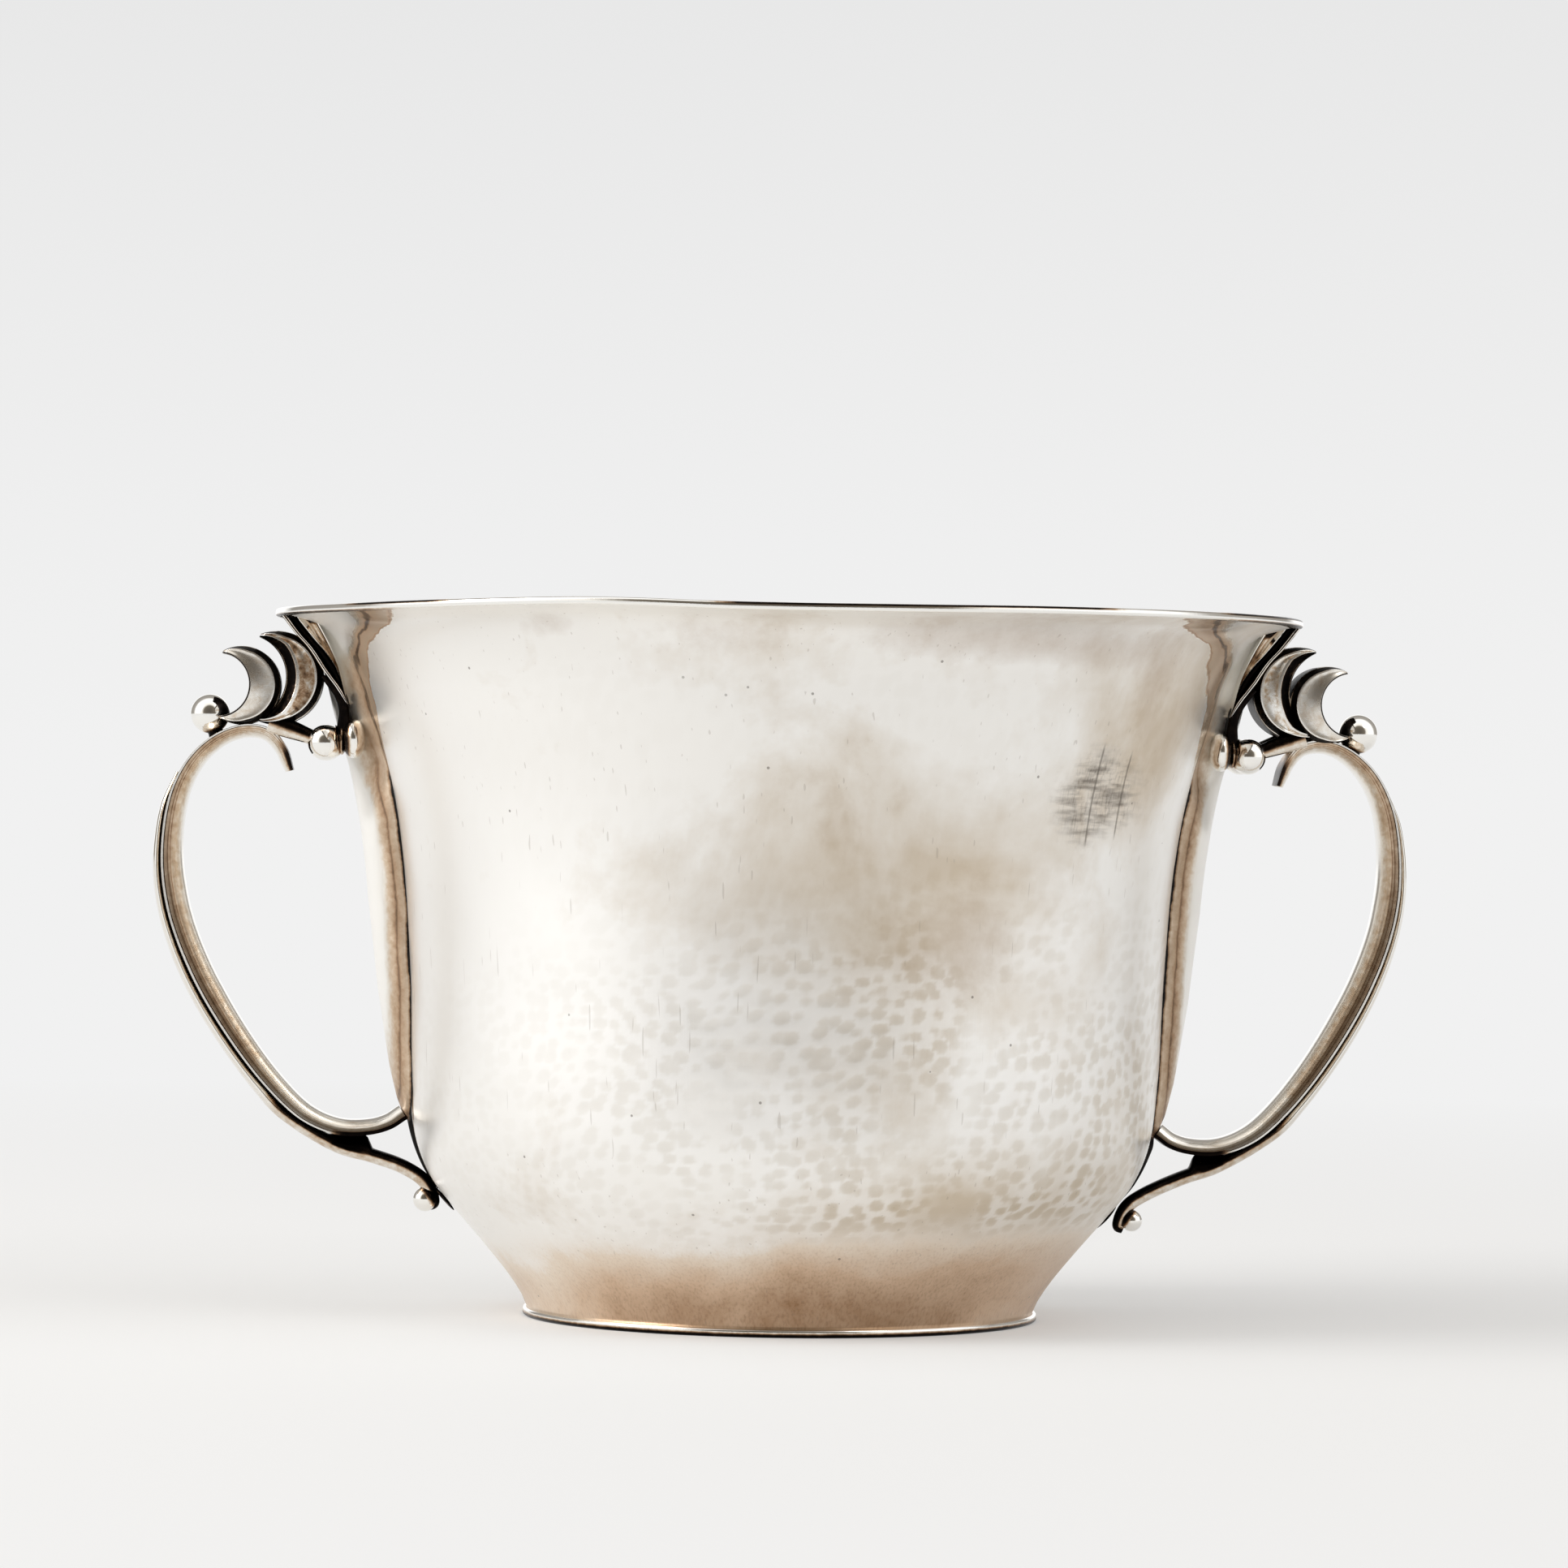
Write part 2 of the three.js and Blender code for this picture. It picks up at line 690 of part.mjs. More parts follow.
// One of the twin fittings: strut, balls, collar, post and bracket.
function addFitting(group, side, face, rooms) {
  const towards = face.towards * Math.cos(side.turn);
  const name = (piece) => `${side.name}_${face.name}_${piece}`;
  const outer = place(OUTER_BALL_PLACE, side, towards, FITTING_Y);
  const neck = outer.clone().add(new THREE.Vector3(-COLLAR_SETBACK - COLLAR_LENGTH / 2, 0, INNER_BALL_RISE * 0.6));
  const innerCentre = neck.clone();
  innerCentre.x -= COLLAR_LENGTH / 2;
  innerCentre.y += INNER_BALL_SPLAY * towards;
  innerCentre.z += INNER_BALL_RISE * 0.4;
  const outerBall = trimmed(ball(OUTER_BALL_RADIUS, outer), [
    halfSpace(outer.x - COLLAR_SETBACK + SEAM, -1),
  ]);
  const innerShape = new THREE.SphereGeometry(INNER_BALL_RADIUS, 14, 9).scale(INNER_BALL_FLATTEN, 1, 1);
  innerShape.translate(innerCentre.x, innerCentre.y, innerCentre.z);
  const innerBall = trimmed(solid(innerShape), [
    halfSpace(innerCentre.x - SEAM, 1),
    rooms.rib,
    rooms.wall,
  ]);
  const ballRoom = ball(OUTER_BALL_RADIUS + SEAM, outer);
  const collarTop = neck.z + COLLAR_RADIUS + SEAM;
  const outerRoom = ball(INNER_BALL_RADIUS + SEAM, innerCentre);
  addPiece(group, name("outer_ball"), outerBall, polished());
  addPiece(group, name("inner_ball"), innerBall, polished());
  addPiece(group, name("collar"), trimmed(collar(neck), [rooms.rib, rooms.wall]), oxidised());
  addPiece(group, name("strut"), strut(side, towards, [ballRoom, rooms.strap, rooms.large]), oxidised());
  addPiece(group, name("post"), post(side, towards, collarTop, [rooms.rib, rooms.wall, rooms.large, outerRoom]), oxidised());
  addPiece(group, name("bracket"), bracket(side, towards, [rooms.rib, rooms.wall, rooms.large]), polished());
}

function addHandle(side) {
  const group = new THREE.Group();
  group.rotation.z = side.turn;
  const name = (piece) => `${side.name}_${piece}`;
  const wall = wallEnvelope();
  const deep = CRESCENT_HALF_DEPTH * 1.5;
  const rooms = {
    wall,
    rib: ribColumn(side, SEAM),
    strap: strapRoom(side),
    small: crescent(SMALL_CRESCENT, side, SEAM, 0.1, deep),
    large: crescent(LARGE_CRESCENT, side, SEAM, 0.1, deep),
  };
  const ballRoom = ball(TOP_BALL_RADIUS + SEAM, place(TOP_BALL_PLACE, side));
  const small = trimmed(crescent(SMALL_CRESCENT, side), [rooms.strap, ballRoom]);
  const large = trimmed(crescent(LARGE_CRESCENT, side), [rooms.strap, rooms.small, rooms.rib]);
  const bead = place([BEAD_PLACE[0] - side.legIn, BEAD_PLACE[1] - side.legUp], side);
  addPiece(group, name("side_rib"), trimmed(ribColumn(side, 0), [wall]), polished());
  addPiece(group, name("handle_strap"), strap(side), polished());
  const spineRoom = [rooms.strap, ball(BEAD_RADIUS + SEAM, bead, 10)];
  addPiece(group, name("handle_spine"), trimmed(spine(side), spineRoom), polished());
  addPiece(group, name("spine_bead"), ball(BEAD_RADIUS, bead, 10), polished());
  addPiece(group, name("spine_pad"), trimmed(pad(side), [wall, spine(side, SEAM)]), oxidised());
  addPiece(group, name("small_crescent"), small, polished());
  addPiece(group, name("large_crescent"), large, polished());
  addPiece(group, name("top_ball"), topBall(side, rooms.strap), polished());
  FACES.forEach((face) => addFitting(group, side, face, rooms));
  bowl.add(group);
}

addPiece(bowl, "bowl_body", bowlBody(), hammered());
addPiece(
  bowl,
  "rim_wire",
  ring(MOUTH_RADIUS, RIM_WIRE_WIDTH, BOWL_HEIGHT - RIM_WIRE_HEIGHT, RIM_WIRE_HEIGHT, 0.3),
  polished(),
);
addPiece(bowl, "foot_ring", ring(FOOT_RING_RADIUS, FOOT_RING_WIDTH, 0, FOOT_RING_HEIGHT, 0.25), polished());
SIDES.forEach(addHandle);

export default bowl;
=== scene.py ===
"""A hand-raised silver bowl with two scroll handles, as a studio photograph shows it.

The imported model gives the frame: every piece below stands for one of its nodes, in the same place.
Lengths in the tables are in millimetres and the meshes are in metres. +Z is up, the handles lie
along X, and the front of the bowl looks towards -Y.
"""

import math

import bpy
import numpy as np
from bpy.props import FloatProperty, FloatVectorProperty, PointerProperty
from mathutils import Matrix, Vector


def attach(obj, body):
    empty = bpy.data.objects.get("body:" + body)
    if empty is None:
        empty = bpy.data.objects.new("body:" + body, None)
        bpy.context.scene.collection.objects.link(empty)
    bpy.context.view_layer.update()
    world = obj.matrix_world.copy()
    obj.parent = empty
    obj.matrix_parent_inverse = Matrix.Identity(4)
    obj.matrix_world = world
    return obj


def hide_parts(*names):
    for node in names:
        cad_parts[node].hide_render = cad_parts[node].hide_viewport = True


bl_info = {
    "name": "Two-handled silver bowl",
    "version": (1, 0, 0),
    "blender": (4, 5, 0),
    "location": "View3D > Sidebar > Silver bowl",
    "description": "Builds a hammered silver bowl with two scroll handles, and its studio",
    "category": "Add Mesh",
}

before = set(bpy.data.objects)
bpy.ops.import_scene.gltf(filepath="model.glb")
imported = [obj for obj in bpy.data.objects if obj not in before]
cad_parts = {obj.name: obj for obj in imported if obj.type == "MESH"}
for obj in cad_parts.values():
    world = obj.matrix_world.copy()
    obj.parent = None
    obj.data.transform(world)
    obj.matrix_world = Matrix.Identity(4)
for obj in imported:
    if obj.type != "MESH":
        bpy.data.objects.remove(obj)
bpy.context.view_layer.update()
MM = 0.001
PHOTO_WIDTH = 1932
# How far the photograph's middle lies from the lens's axis, in pixels.
PHOTO_SHIFT = (-4.0, -11.0)

# The wall's outside above the skirt: share of the way from the skirt's radius out to the
# waist's, and height over the table.
LOWER_WALL = [
    (0.033, 3.0), (0.138, 6.4), (0.329, 11.4), (0.571, 17.3), (0.771, 22.6), (0.9, 29.0),
    (0.957, 38.0),
]
FOOT_RADIUS = 42.7
WAIST_PER_MOUTH = 0.7394
WAIST_HEIGHT = 56.0
# The flare: share of the way from the waist's radius to the mouth's, and depth below the rim.
FLARE = [
    (0.063, 41.2), (0.162, 28.2), (0.297, 18.2), (0.423, 9.8), (0.545, 5.0), (0.66, 2.7),
    (0.79, 1.7),
]
LIP_EDGE_DROP = 1.1
# Width and height of the rim wire's section, and of the foot ring's.
RIM_WIRE = (1.7, 1.2)
FOOT_RING = (2.4, 1.3)
SKIRT_SETBACK = 0.7
FLOOR_HEIGHT = 5.0
FLOOR_THICKNESS = 1.3

# How far the hand-cut lip rises over its drawn height, by degrees round the bowl from the front.
LIP_WAVE = [
    (-180, 0.2), (-95, 0.0), (-60, 0.05), (-44, 0.45), (-34, 0.75), (-26, 0.95), (-19, 0.8),
    (-10, 0.35), (0, 0.25), (12, 0.35), (24, 0.55), (45, 0.65), (70, 0.6), (88, 0.45), (180, 0.2),
]
# The wave fades in between these two heights.
LIP_ZONE = (98, 114)
# Where the rim wire's upper edge is black: from and to, in degrees round the bowl from the front.
RIM_LINES = [(-57, -44), (-9, 32), (53, 80)]
# The side rib, from the lip down to the thin tail that ends in the curl: depth below the rim, how
# far it stands out, and half its width. Its feet reach no further than RIB_REACH to each side, the
# creases close at RIB_FOOT, it goes over from a soft swelling to a half-round between two depths,
# and its back lies BACK_DEPTH inside the wall.
RIB = [
    (1.3, 2.4, 6.3), (3.0, 3.7, 6.3), (8.0, 4.7, 6.2), (16.0, 5.4, 6.1), (30.0, 5.6, 6.0),
    (48.0, 5.5, 5.6), (63.0, 4.6, 5.0), (76.0, 3.0, 4.2), (81.4, 2.1, 3.6), (84.0, 1.3, 2.6),
    (85.2, 0.75, 1.7), (88.0, 0.62, 1.5), (93.0, 0.5, 1.3), (96.5, 0.3, 0.8),
]
RIB_REACH, RIB_FOOT, RIB_ROUNDS = 12.0, 86.4, (23, 36)
BACK_DEPTH = 0.3
# The crease beside a rib: depth below the rim, degrees round the bowl from the handle, and half
# the width of its stain in degrees.
CREASE = [
    (0.6, 33.5, 5.2), (2.2, 28.5, 5.6), (4.6, 19.6, 5.2), (7.7, 13.2, 4.0), (10.0, 11.2, 3.6),
    (14.0, 10.0, 3.1), (20.0, 10.0, 2.6), (33.0, 10.2, 2.2), (46.0, 9.6, 2.0), (66.0, 9.4, 1.9),
    (80.0, 8.0, 1.8), (84.0, 6.4, 1.6), (86.0, 4.0, 1.2),
]
# Clouds of tarnish on the wall: degrees round the bowl from the front, height, half width and
# half height, and strength.
GREY_CLOUDS = [
    (4, 80, 25, 17, 0.75), (-14, 66, 15, 12, 0.42), (24, 62, 22, 18, 0.6), (8, 46, 24, 10, 0.22),
    (60, 102, 16, 12, 0.45), (-4, 108, 26, 5, 0.2), (44, 88, 16, 9, 0.35), (66, 36, 10, 16, 0.42),
    (58, 96, 22, 20, 0.5), (36, 106, 26, 8, 0.4), (0, 17, 40, 8, 0.45), (40, 19, 20, 9, 0.5),
    (26, 24, 34, 11, 0.4),
]
TAN_CLOUDS = [
    (25, 63, 8, 8, 0.62), (4, 84, 20, 12, 0.34), (-33, 112.4, 5, 2.2, 0.5),
    (-13, 111.4, 11, 3.0, 0.42), (14, 111.6, 14, 3.0, 0.5), (34, 110.6, 19, 3.6, 0.75),
    (52, 105.0, 8, 9.0, 0.5), (8, 58, 14, 8, 0.32), (46, 87, 9, 5.5, 0.4),
]
# The scuffed patch to the right of the front: degrees round the bowl, height, half width and
# half height.
SCUFF = (45.0, 87.5, 9.5, 5.8)
# Where two long thin strokes cross the patch, in degrees round the bowl from the front.
SCUFF_STROKES = (44.0, 50.5)

# The grip's flat back, as distance out of the wall and depth below the rim.
STRAP_BACK = [
    (14.6, 26.6), (14.7, 23.0), (16.3, 19.9), (19.9, 19.0), (24.8, 20.3), (30.5, 24.0),
    (35.4, 30.2), (38.5, 40.2), (38.4, 49.7), (35.0, 60.9), (29.0, 71.9), (22.7, 80.6),
    (17.8, 85.4), (12.7, 87.6), (7.4, 87.6), (3.6, 86.6), (0.7, 84.9),
]
# Below this depth a side's reach and sag tell.
STRAP_TOP_DROP = 19.0
# By share of the grip's length: how thick it is, and half its width.
STRAP_THICK = [
    (0, 1.5), (0.02, 2.0), (0.06, 2.2), (0.14, 2.4), (0.28, 3.3), (0.42, 3.9), (0.6, 3.8),
    (0.75, 3.3), (0.86, 2.9), (0.95, 2.7), (1, 2.7),
]
STRAP_WIDE = [
    (0, 3.2), (0.02, 3.9), (0.05, 4.3), (0.14, 4.7), (0.5, 4.5), (0.8, 4.0), (0.93, 3.4),
    (0.98, 2.8), (1, 2.4),
]
# Tarnish across the grip, from its outer edge to the finger side.
GRIP_LINES = [
    (0.0, 0.25), (0.02, 0.0), (0.09, 0.0), (0.11, 0.9), (0.135, 0.9), (0.15, 0.34), (0.27, 0.38),
    (0.3, 0.62), (0.33, 0.4), (0.4, 0.36), (0.43, 0.58), (0.46, 0.34), (0.62, 0.3), (0.8, 0.22),
    (0.92, 0.1), (1.0, 0.02),
]

# The spine follows the grip's back between two shares of its length, then runs on as a leg.
SPINE_START = 0.24
SPINE_LEAVES = 0.8
LEG = [
    (13.2, 89.5), (8.6, 91.4), (5.3, 93.2), (3.4, 94.7), (2.6, 95.9), (2.6, 97.1), (3.1, 98.6),
    (3.9, 99.7), (5.1, 100.1),
]
# By share of the spine's length, leg and all: how thick it is, and half its width.
SPINE_THICK = [
    (0, 0.5), (0.06, 1.0), (0.14, 1.3), (0.34, 1.7), (0.55, 1.8), (0.66, 2.1), (0.8, 2.4),
    (0.9, 2.4), (0.96, 2.3), (1, 1.6),
]
SPINE_WIDE = [
    (0, 0.8), (0.06, 1.9), (0.3, 2.5), (0.6, 2.6), (0.8, 2.2), (0.9, 1.6), (0.96, 1.3), (1, 0.8),
]
# Tarnish across the spine, from its outer side to the side towards the grip.
SPINE_LINES = [
    (0.0, 0.3), (0.08, 0.05), (0.3, 0.12), (0.42, 0.0), (0.7, 0.0), (0.74, 0.35), (0.78, 0.0),
    (0.88, 0.1), (0.92, 0.9), (1.0, 1.0),
]
# Where the leg parts from the grip, a black fillet of solder fills the gap up to this width.
WEB_GAP = 3.9
# The pad under the curl: depth below the rim of its middle, half its length and half its width,
# and its thickness.
PAD = (97.9, 2.6, 3.1, 0.6)

# The crescents: outer circle's centre and radius, hollow circle's centre and radius.
SMALL_CRESCENT = ((19.3, 12.7), 6.5, (23.2, 12.6), 5.2)
LARGE_CRESCENT = ((13.1, 11.4), 7.75, (18.6, 11.3), 7.1)
# The way over a crescent's bevel, from its flank to its face: share of its width, share of its
# rise, and tarnish.
BEVEL = [
    (0.0, -1.3, 1.0), (0.0, -0.4, 1.0), (0.0, -0.08, 0.85), (0.02, 0.0, 0.08), (0.1, 0.1, 0.05),
    (0.16, 0.17, 0.95), (0.5, 0.52, 1.0), (0.9, 0.93, 1.0), (0.97, 0.99, 0.1), (1.05, 1.0, 0.0),
    (1.2, 1.0, 0.1),
]
# The balls' middles, as distance out of the wall and depth below the rim. A fitting lies FITTING_Y
# in front of the handle's plane or behind it, and its strut starts at a distance out, a depth and
# a way from that plane.
TOP_BALL = (25.7, 17.1)
OUTER_BALL = (8.1, 22.0)
FITTING_Y = 5.1
STRUT_START = (16.4, 18.6, 3.8)
# From the outer ball's middle to the collar's, and from there to the inner ball's.
TO_COLLAR = (-3.15, 0.0, 0.42)
TO_INNER_BALL = (-1.5, 0.7, 0.28)
# The inner ball's radius, and how far it is squashed along each axis.
INNER_BALL, INNER_BALL_SQUASH = 3.25, (0.6, 0.92, 1)
# The collar's mean radius, half the height of its rings, and half its length.
COLLAR_RADIUS, RING_HEIGHT, COLLAR_HALF = 2.1, 0.28, 1.6
# The strut: half its height at its start, how much less that is at the ball, and half its width.
STRUT_HIGH, STRUT_LOSS, STRUT_WIDE = 1.9, 0.9, 1.2

# The fluted bracket: its outer and its inner edge, as setback from the mouth's radius and depth
# below the rim, from the lip down to the tip.
BRACKET_OUTER = [
    (0.6, 0.5), (1.9, 2.2), (3.5, 4.2), (5.5, 6.3), (8.2, 10.3), (10.0, 12.7), (11.9, 15.4),
]
BRACKET_INNER = [(6.2, 0.5), (7.4, 2.6), (9.1, 5.9), (10.5, 9.4), (11.5, 13.3), (12.2, 15.6)]
# How far the face lies in front of the handle's plane at the lip, how much less at the tip, and
# where the slope behind it and its back lie.
BRACKET_FRONT, BRACKET_LEAN, BRACKET_SLOPE, BRACKET_BACK = 8.4, 1.3, 5.2, 3.0
# Where the groove lies across the face: share of the length, and its two edges.
BRACKET_GROOVE = [
    (0.0, 0.15, 0.38), (0.1, 0.15, 0.39), (0.36, 0.15, 0.5), (0.62, 0.22, 0.86),
    (0.75, 0.36, 0.95), (0.86, 0.66, 0.97), (1.0, 0.9, 0.98),
]
# Across the bracket's face: share from outer to inner edge, and depth of the groove.
BRACKET_FACE = [
    (0.0, 0.3), (0.03, 0.05), (0.06, 0.0), (0.08, 0.14), (0.1, 0.14), (0.13, 0.0), (0.16, 0.05),
    (0.19, 0.6), (0.27, 1.4), (0.34, 1.5), (0.4, 1.2), (0.43, 0.3), (0.46, 0.0), (0.49, 0.02),
    (0.55, 0.35), (0.63, 0.75), (0.73, 0.95), (0.83, 0.8), (0.91, 0.35), (0.95, 0.03), (0.98, 0.0),
    (1.0, 0.3),
]
# Tarnish across it.
BRACKET_LINES = [
    (0.0, 0.5), (0.02, 0.0), (0.06, 0.0), (0.075, 0.85), (0.1, 0.8), (0.11, 0.05), (0.145, 0.0),
    (0.165, 0.7), (0.2, 1.0), (0.41, 1.0), (0.43, 0.1), (0.48, 0.0), (0.5, 0.3), (0.53, 0.12),
    (0.62, 0.3), (0.7, 0.38), (0.73, 0.56), (0.76, 0.38), (0.86, 0.24), (0.89, 0.3), (0.9, 0.9),
    (0.925, 0.9), (0.935, 0.1), (1.0, 0.0),
]

# What handwork did to each handle. turn is -1 for the left side; reach and sag are factors on how
# far the grip stands out and hangs; leg_in and leg_up move the curl, and bead is its ball's place;
# crease holds factors on the crease's angles near the lip and further down; spread holds, for the
# stain beside the fittings, a factor towards the handle and one towards the bowl, each the wider
# the smaller it is, and the depth from which its outer part narrows; drip is half the width of the
# black stain under the rib, in degrees; tail is a factor on how proud the rib's tail is; stain is
# the large crescent's tarnish; ball and moon move the top ball and the small crescent.
SIDES = {
    "left": {
        "turn": -1.0, "reach": 1.012, "sag": 0.988, "leg_in": 1.0, "leg_up": 0.7,
        "crease": (1.0, 1.0), "spread": (0.34, 0.8, 16), "bead": (3.7, 98.3), "bead_radius": 2.05,
        "drip": 4.0, "tail": 1.0, "stain": 0.42, "ball": (0.25, 0.35), "moon": (0.0, 0.0),
    },
    "right": {
        "turn": 1.0, "reach": 0.988, "sag": 1.012, "leg_in": 0.0, "leg_up": 0.0,
        "crease": (1.2, 0.82), "spread": (0.42, 0.45, 25), "bead": (5.3, 98.7), "bead_radius": 1.8,
        "drip": 5.0, "tail": 1.8, "stain": 0.2, "ball": (0.1, 0.85), "moon": (-0.6, 0.6),
    },
}
# Each handle has its fittings twice: towards the side in the photograph and away from it.
FACES = {"front": -1.0, "rear": 1.0}


# Settings that a user would change.


def linear(code):
    """A hex sRGB colour as linear RGBA."""
    parts = np.array([int(code[i : i + 2], 16) / 255 for i in (1, 3, 5)])
    low, high = parts / 12.92, ((parts + 0.055) / 1.055) ** 2.4
    return (*np.where(parts <= 0.04045, low, high), 1.0)


class BowlSizes(bpy.types.PropertyGroup):
    """Sizes of the vessel and its handles"""

    height: FloatProperty(
        name="Height", description="Table to the top of the rim", default=0.1162, unit="LENGTH"
    )
    mouth_radius: FloatProperty(
        name="Mouth radius", description="Outside of the rim wire", default=0.0852, unit="LENGTH"
    )
    sheet: FloatProperty(
        name="Sheet", description="Thickness of the wall", default=0.0011, unit="LENGTH"
    )
    hammer_pitch: FloatProperty(
        name="Hammer pitch", description="Spacing of its marks", default=0.0031, unit="LENGTH"
    )
    hammer_depth: FloatProperty(
        name="Hammer depth", description="Depth of the deepest mark", default=0.00005, unit="LENGTH"
    )
    crescent_depth: FloatProperty(
        name="Crescent depth", description="Half of it, front to back", default=0.0062,
        unit="LENGTH",
    )
    ball_radius: FloatProperty(
        name="Ball radius", description="Balls on the handles", default=0.0030, unit="LENGTH"
    )


def colour_setting(name, description, code):
    """A colour that a user may change, from its hex sRGB value."""
    return FloatVectorProperty(
        name=name, description=description, subtype="COLOR", size=4, min=0, max=1,
        default=linear(code),
    )


class BowlFinish(bpy.types.PropertyGroup):
    """Colours and polish of the silver"""

    clean: colour_setting("Clean silver", "The wall where it is untarnished", "#F8F6F2")
    grey: colour_setting("Grey tarnish", "The large clouds on the wall", "#D3C5B1")
    tan: colour_setting("Tan tarnish", "The smaller, darker clouds", "#B39D88")
    wall_roughness: FloatProperty(
        name="Wall roughness", description="Satin of the wall", default=0.34, subtype="FACTOR"
    )
    trim_roughness: FloatProperty(
        name="Trim roughness", description="Polish of the handles", default=0.1, subtype="FACTOR"
    )


class StudioSettings(bpy.types.PropertyGroup):
    """Camera and light"""

    distance: FloatProperty(
        name="Distance", description="Camera to the bowl's axis", default=1.08, unit="LENGTH"
    )
    camera_height: FloatProperty(
        name="Camera height", description="Lens over the table", default=0.090, unit="LENGTH"
    )
    focal: FloatProperty(name="Focal length", description="In millimetres", default=149.07)
    turn: FloatProperty(
        name="Turn", description="How far the left handle comes forward",
        default=math.radians(3.2), unit="ROTATION",
    )
    roll: FloatProperty(
        name="Roll", description="Tilt of the picture", default=0.0148, unit="ROTATION"
    )


def settings():
    """The three groups of settings of this scene."""
    scene = bpy.context.scene
    return scene.bowl_sizes, scene.bowl_finish, scene.bowl_studio


# Curves and surfaces.

# Points that each stretch between two stations is cut into.
STRETCH_STEPS = 40


def smooth_curve(stations, shares):
    """Points of a smooth curve through the stations, at the given shares of its length.

    Each stretch is a cubic whose end slopes come from the neighbouring stations, with knots
    spaced by the square root of the distance, so that the curve doesn't overshoot.
    """
    p = np.asarray(stations, float)
    p = np.vstack([2 * p[0] - p[1], p, 2 * p[-1] - p[-2]])
    knot = np.sqrt(np.linalg.norm(np.diff(p, axis=0), axis=1))[:, None]
    a, b, c = knot[:-2], knot[1:-1], knot[2:]
    p0, p1, p2, p3 = p[:-3], p[1:-2], p[2:-1], p[3:]
    slope1 = ((p1 - p0) / a - (p2 - p0) / (a + b) + (p2 - p1) / b) * b
    slope2 = ((p2 - p1) / b - (p3 - p1) / (b + c) + (p3 - p2) / c) * b
    t = np.linspace(0, 1, STRETCH_STEPS, endpoint=False)[None, :, None]
    q = (
        (2 * t**3 - 3 * t**2 + 1) * p1[:, None]
        + (t**3 - 2 * t**2 + t) * slope1[:, None]
        + (3 * t**2 - 2 * t**3) * p2[:, None]
        + (t**3 - t**2) * slope2[:, None]
    )
    q = np.vstack([q.reshape(-1, p.shape[1]), p[-2]])
    length = np.concatenate([[0], np.cumsum(np.linalg.norm(np.diff(q, axis=0), axis=1))])
    at = np.asarray(shares) * length[-1]
    return np.stack([np.interp(at, length, column) for column in q.T], 1)


def graded(stations, at):
    """A value given at a few places, straight between them."""
    places, values = np.asarray(stations, float).T
    return np.interp(at, places, values)


def circle(count):
    """Angles of a full turn, the last short of the first."""
    return np.linspace(0, 2 * np.pi, count, endpoint=False)


def eased(x, low, high):
    """0 below low, 1 above high, and a smooth step between."""
    t = np.clip((x - low) / (high - low), 0, 1)
    return t * t * (3 - 2 * t)


def wall_stations():
    """Stations of the wall's outside, from the skirt to the lip: radius and height."""
    sizes = settings()[0]
    height, mouth = sizes.height / MM, sizes.mouth_radius / MM
    skirt, waist = FOOT_RADIUS - SKIRT_SETBACK, mouth * WAIST_PER_MOUTH
    lower = [(skirt + share * (waist - skirt), level) for share, level in LOWER_WALL]
    flare = [(waist + share * (mouth - waist), height - drop) for share, drop in FLARE]
    lip = mouth - RIM_WIRE[0] - 0.3
    edge = (lip, height - LIP_EDGE_DROP)
    return [(skirt, FOOT_RING[1]), *lower, (waist, WAIST_HEIGHT), *flare, edge]


def lip_wave(angle):
    """Rise of the lip at an angle round the bowl from the front: its stations, rounded off."""
    table = np.asarray(LIP_WAVE)
    degrees = np.arange(-200, 200.5, 0.5)
    rise = np.interp(degrees, table[:, 0], table[:, 1], period=360)
    rounded = np.convolve(rise, np.hanning(25) / np.hanning(25).sum(), "same")
    return np.interp((np.degrees(angle) + 180) % 360 - 180, degrees, rounded)


def lip_rise(angle, height):
    """The lip's wave at an angle and a height: it fades out below the lip."""
    return lip_wave(angle) * eased(height, *LIP_ZONE)


def rim_drop(height):
    """Depth below the rim of a height over the table."""
    return settings()[0].height / MM - height


def from_handle(points, side):
    """Degrees round the bowl from a handle, to either side of it."""
    return np.degrees(np.arctan2(np.abs(points[..., 1]), points[..., 0] * side["turn"]))


def crease_at(drop, side):
    """Where the middle of a crease's stain lies at a depth, and half its width, in degrees."""
    drops, middle, half = np.asarray(CREASE).T
    scale = np.interp(drop, (12, 26), side["crease"])
    return np.interp(drop, drops, middle) * scale, np.interp(drop, drops, half) * scale


def crease_field(points, side):
    """How far points lie across the stain of a crease: -1 at its edge towards the handle, 1 at
    its edge on the bowl. Its middle and its half width are angles that follow the depth. Beside
    the bracket and the balls each edge is further off by the side's spread, and further down the
    stain is narrow on the bowl's side."""
    drop = rim_drop(points[..., 2])
    middle, half = crease_at(drop, side)
    across = (from_handle(points, side) - middle) / half
    to_handle, to_bowl, start = side["spread"]
    beside = eased(drop, 5, 8) * (1 - eased(drop, 28, 36))
    inner = (1 - (1 - to_bowl) * beside) * (1 + 3 * eased(drop, start, start + 10))
    across = np.where(across > 0, across * inner, across * (1 - (1 - to_handle) * beside))
    return np.clip(across, -4, 4)


def drip_stain(points):
    """The black stain that runs down the wall under each handle, from the rib's foot to the pad:
    1 within its half width, fading over a quarter of it, and narrower towards the pad."""
    drop = rim_drop(points[..., 2])
    along = eased(drop, 80, 85) * (1 - eased(drop, 99, 101))
    total = np.zeros(points.shape[:-1])
    for side in SIDES.values():
        half = side["drip"] * (1 - 0.4 * eased(drop, 84, 99))
        total += (1 - eased(from_handle(points, side), half * 0.75, half)) * along
    return total


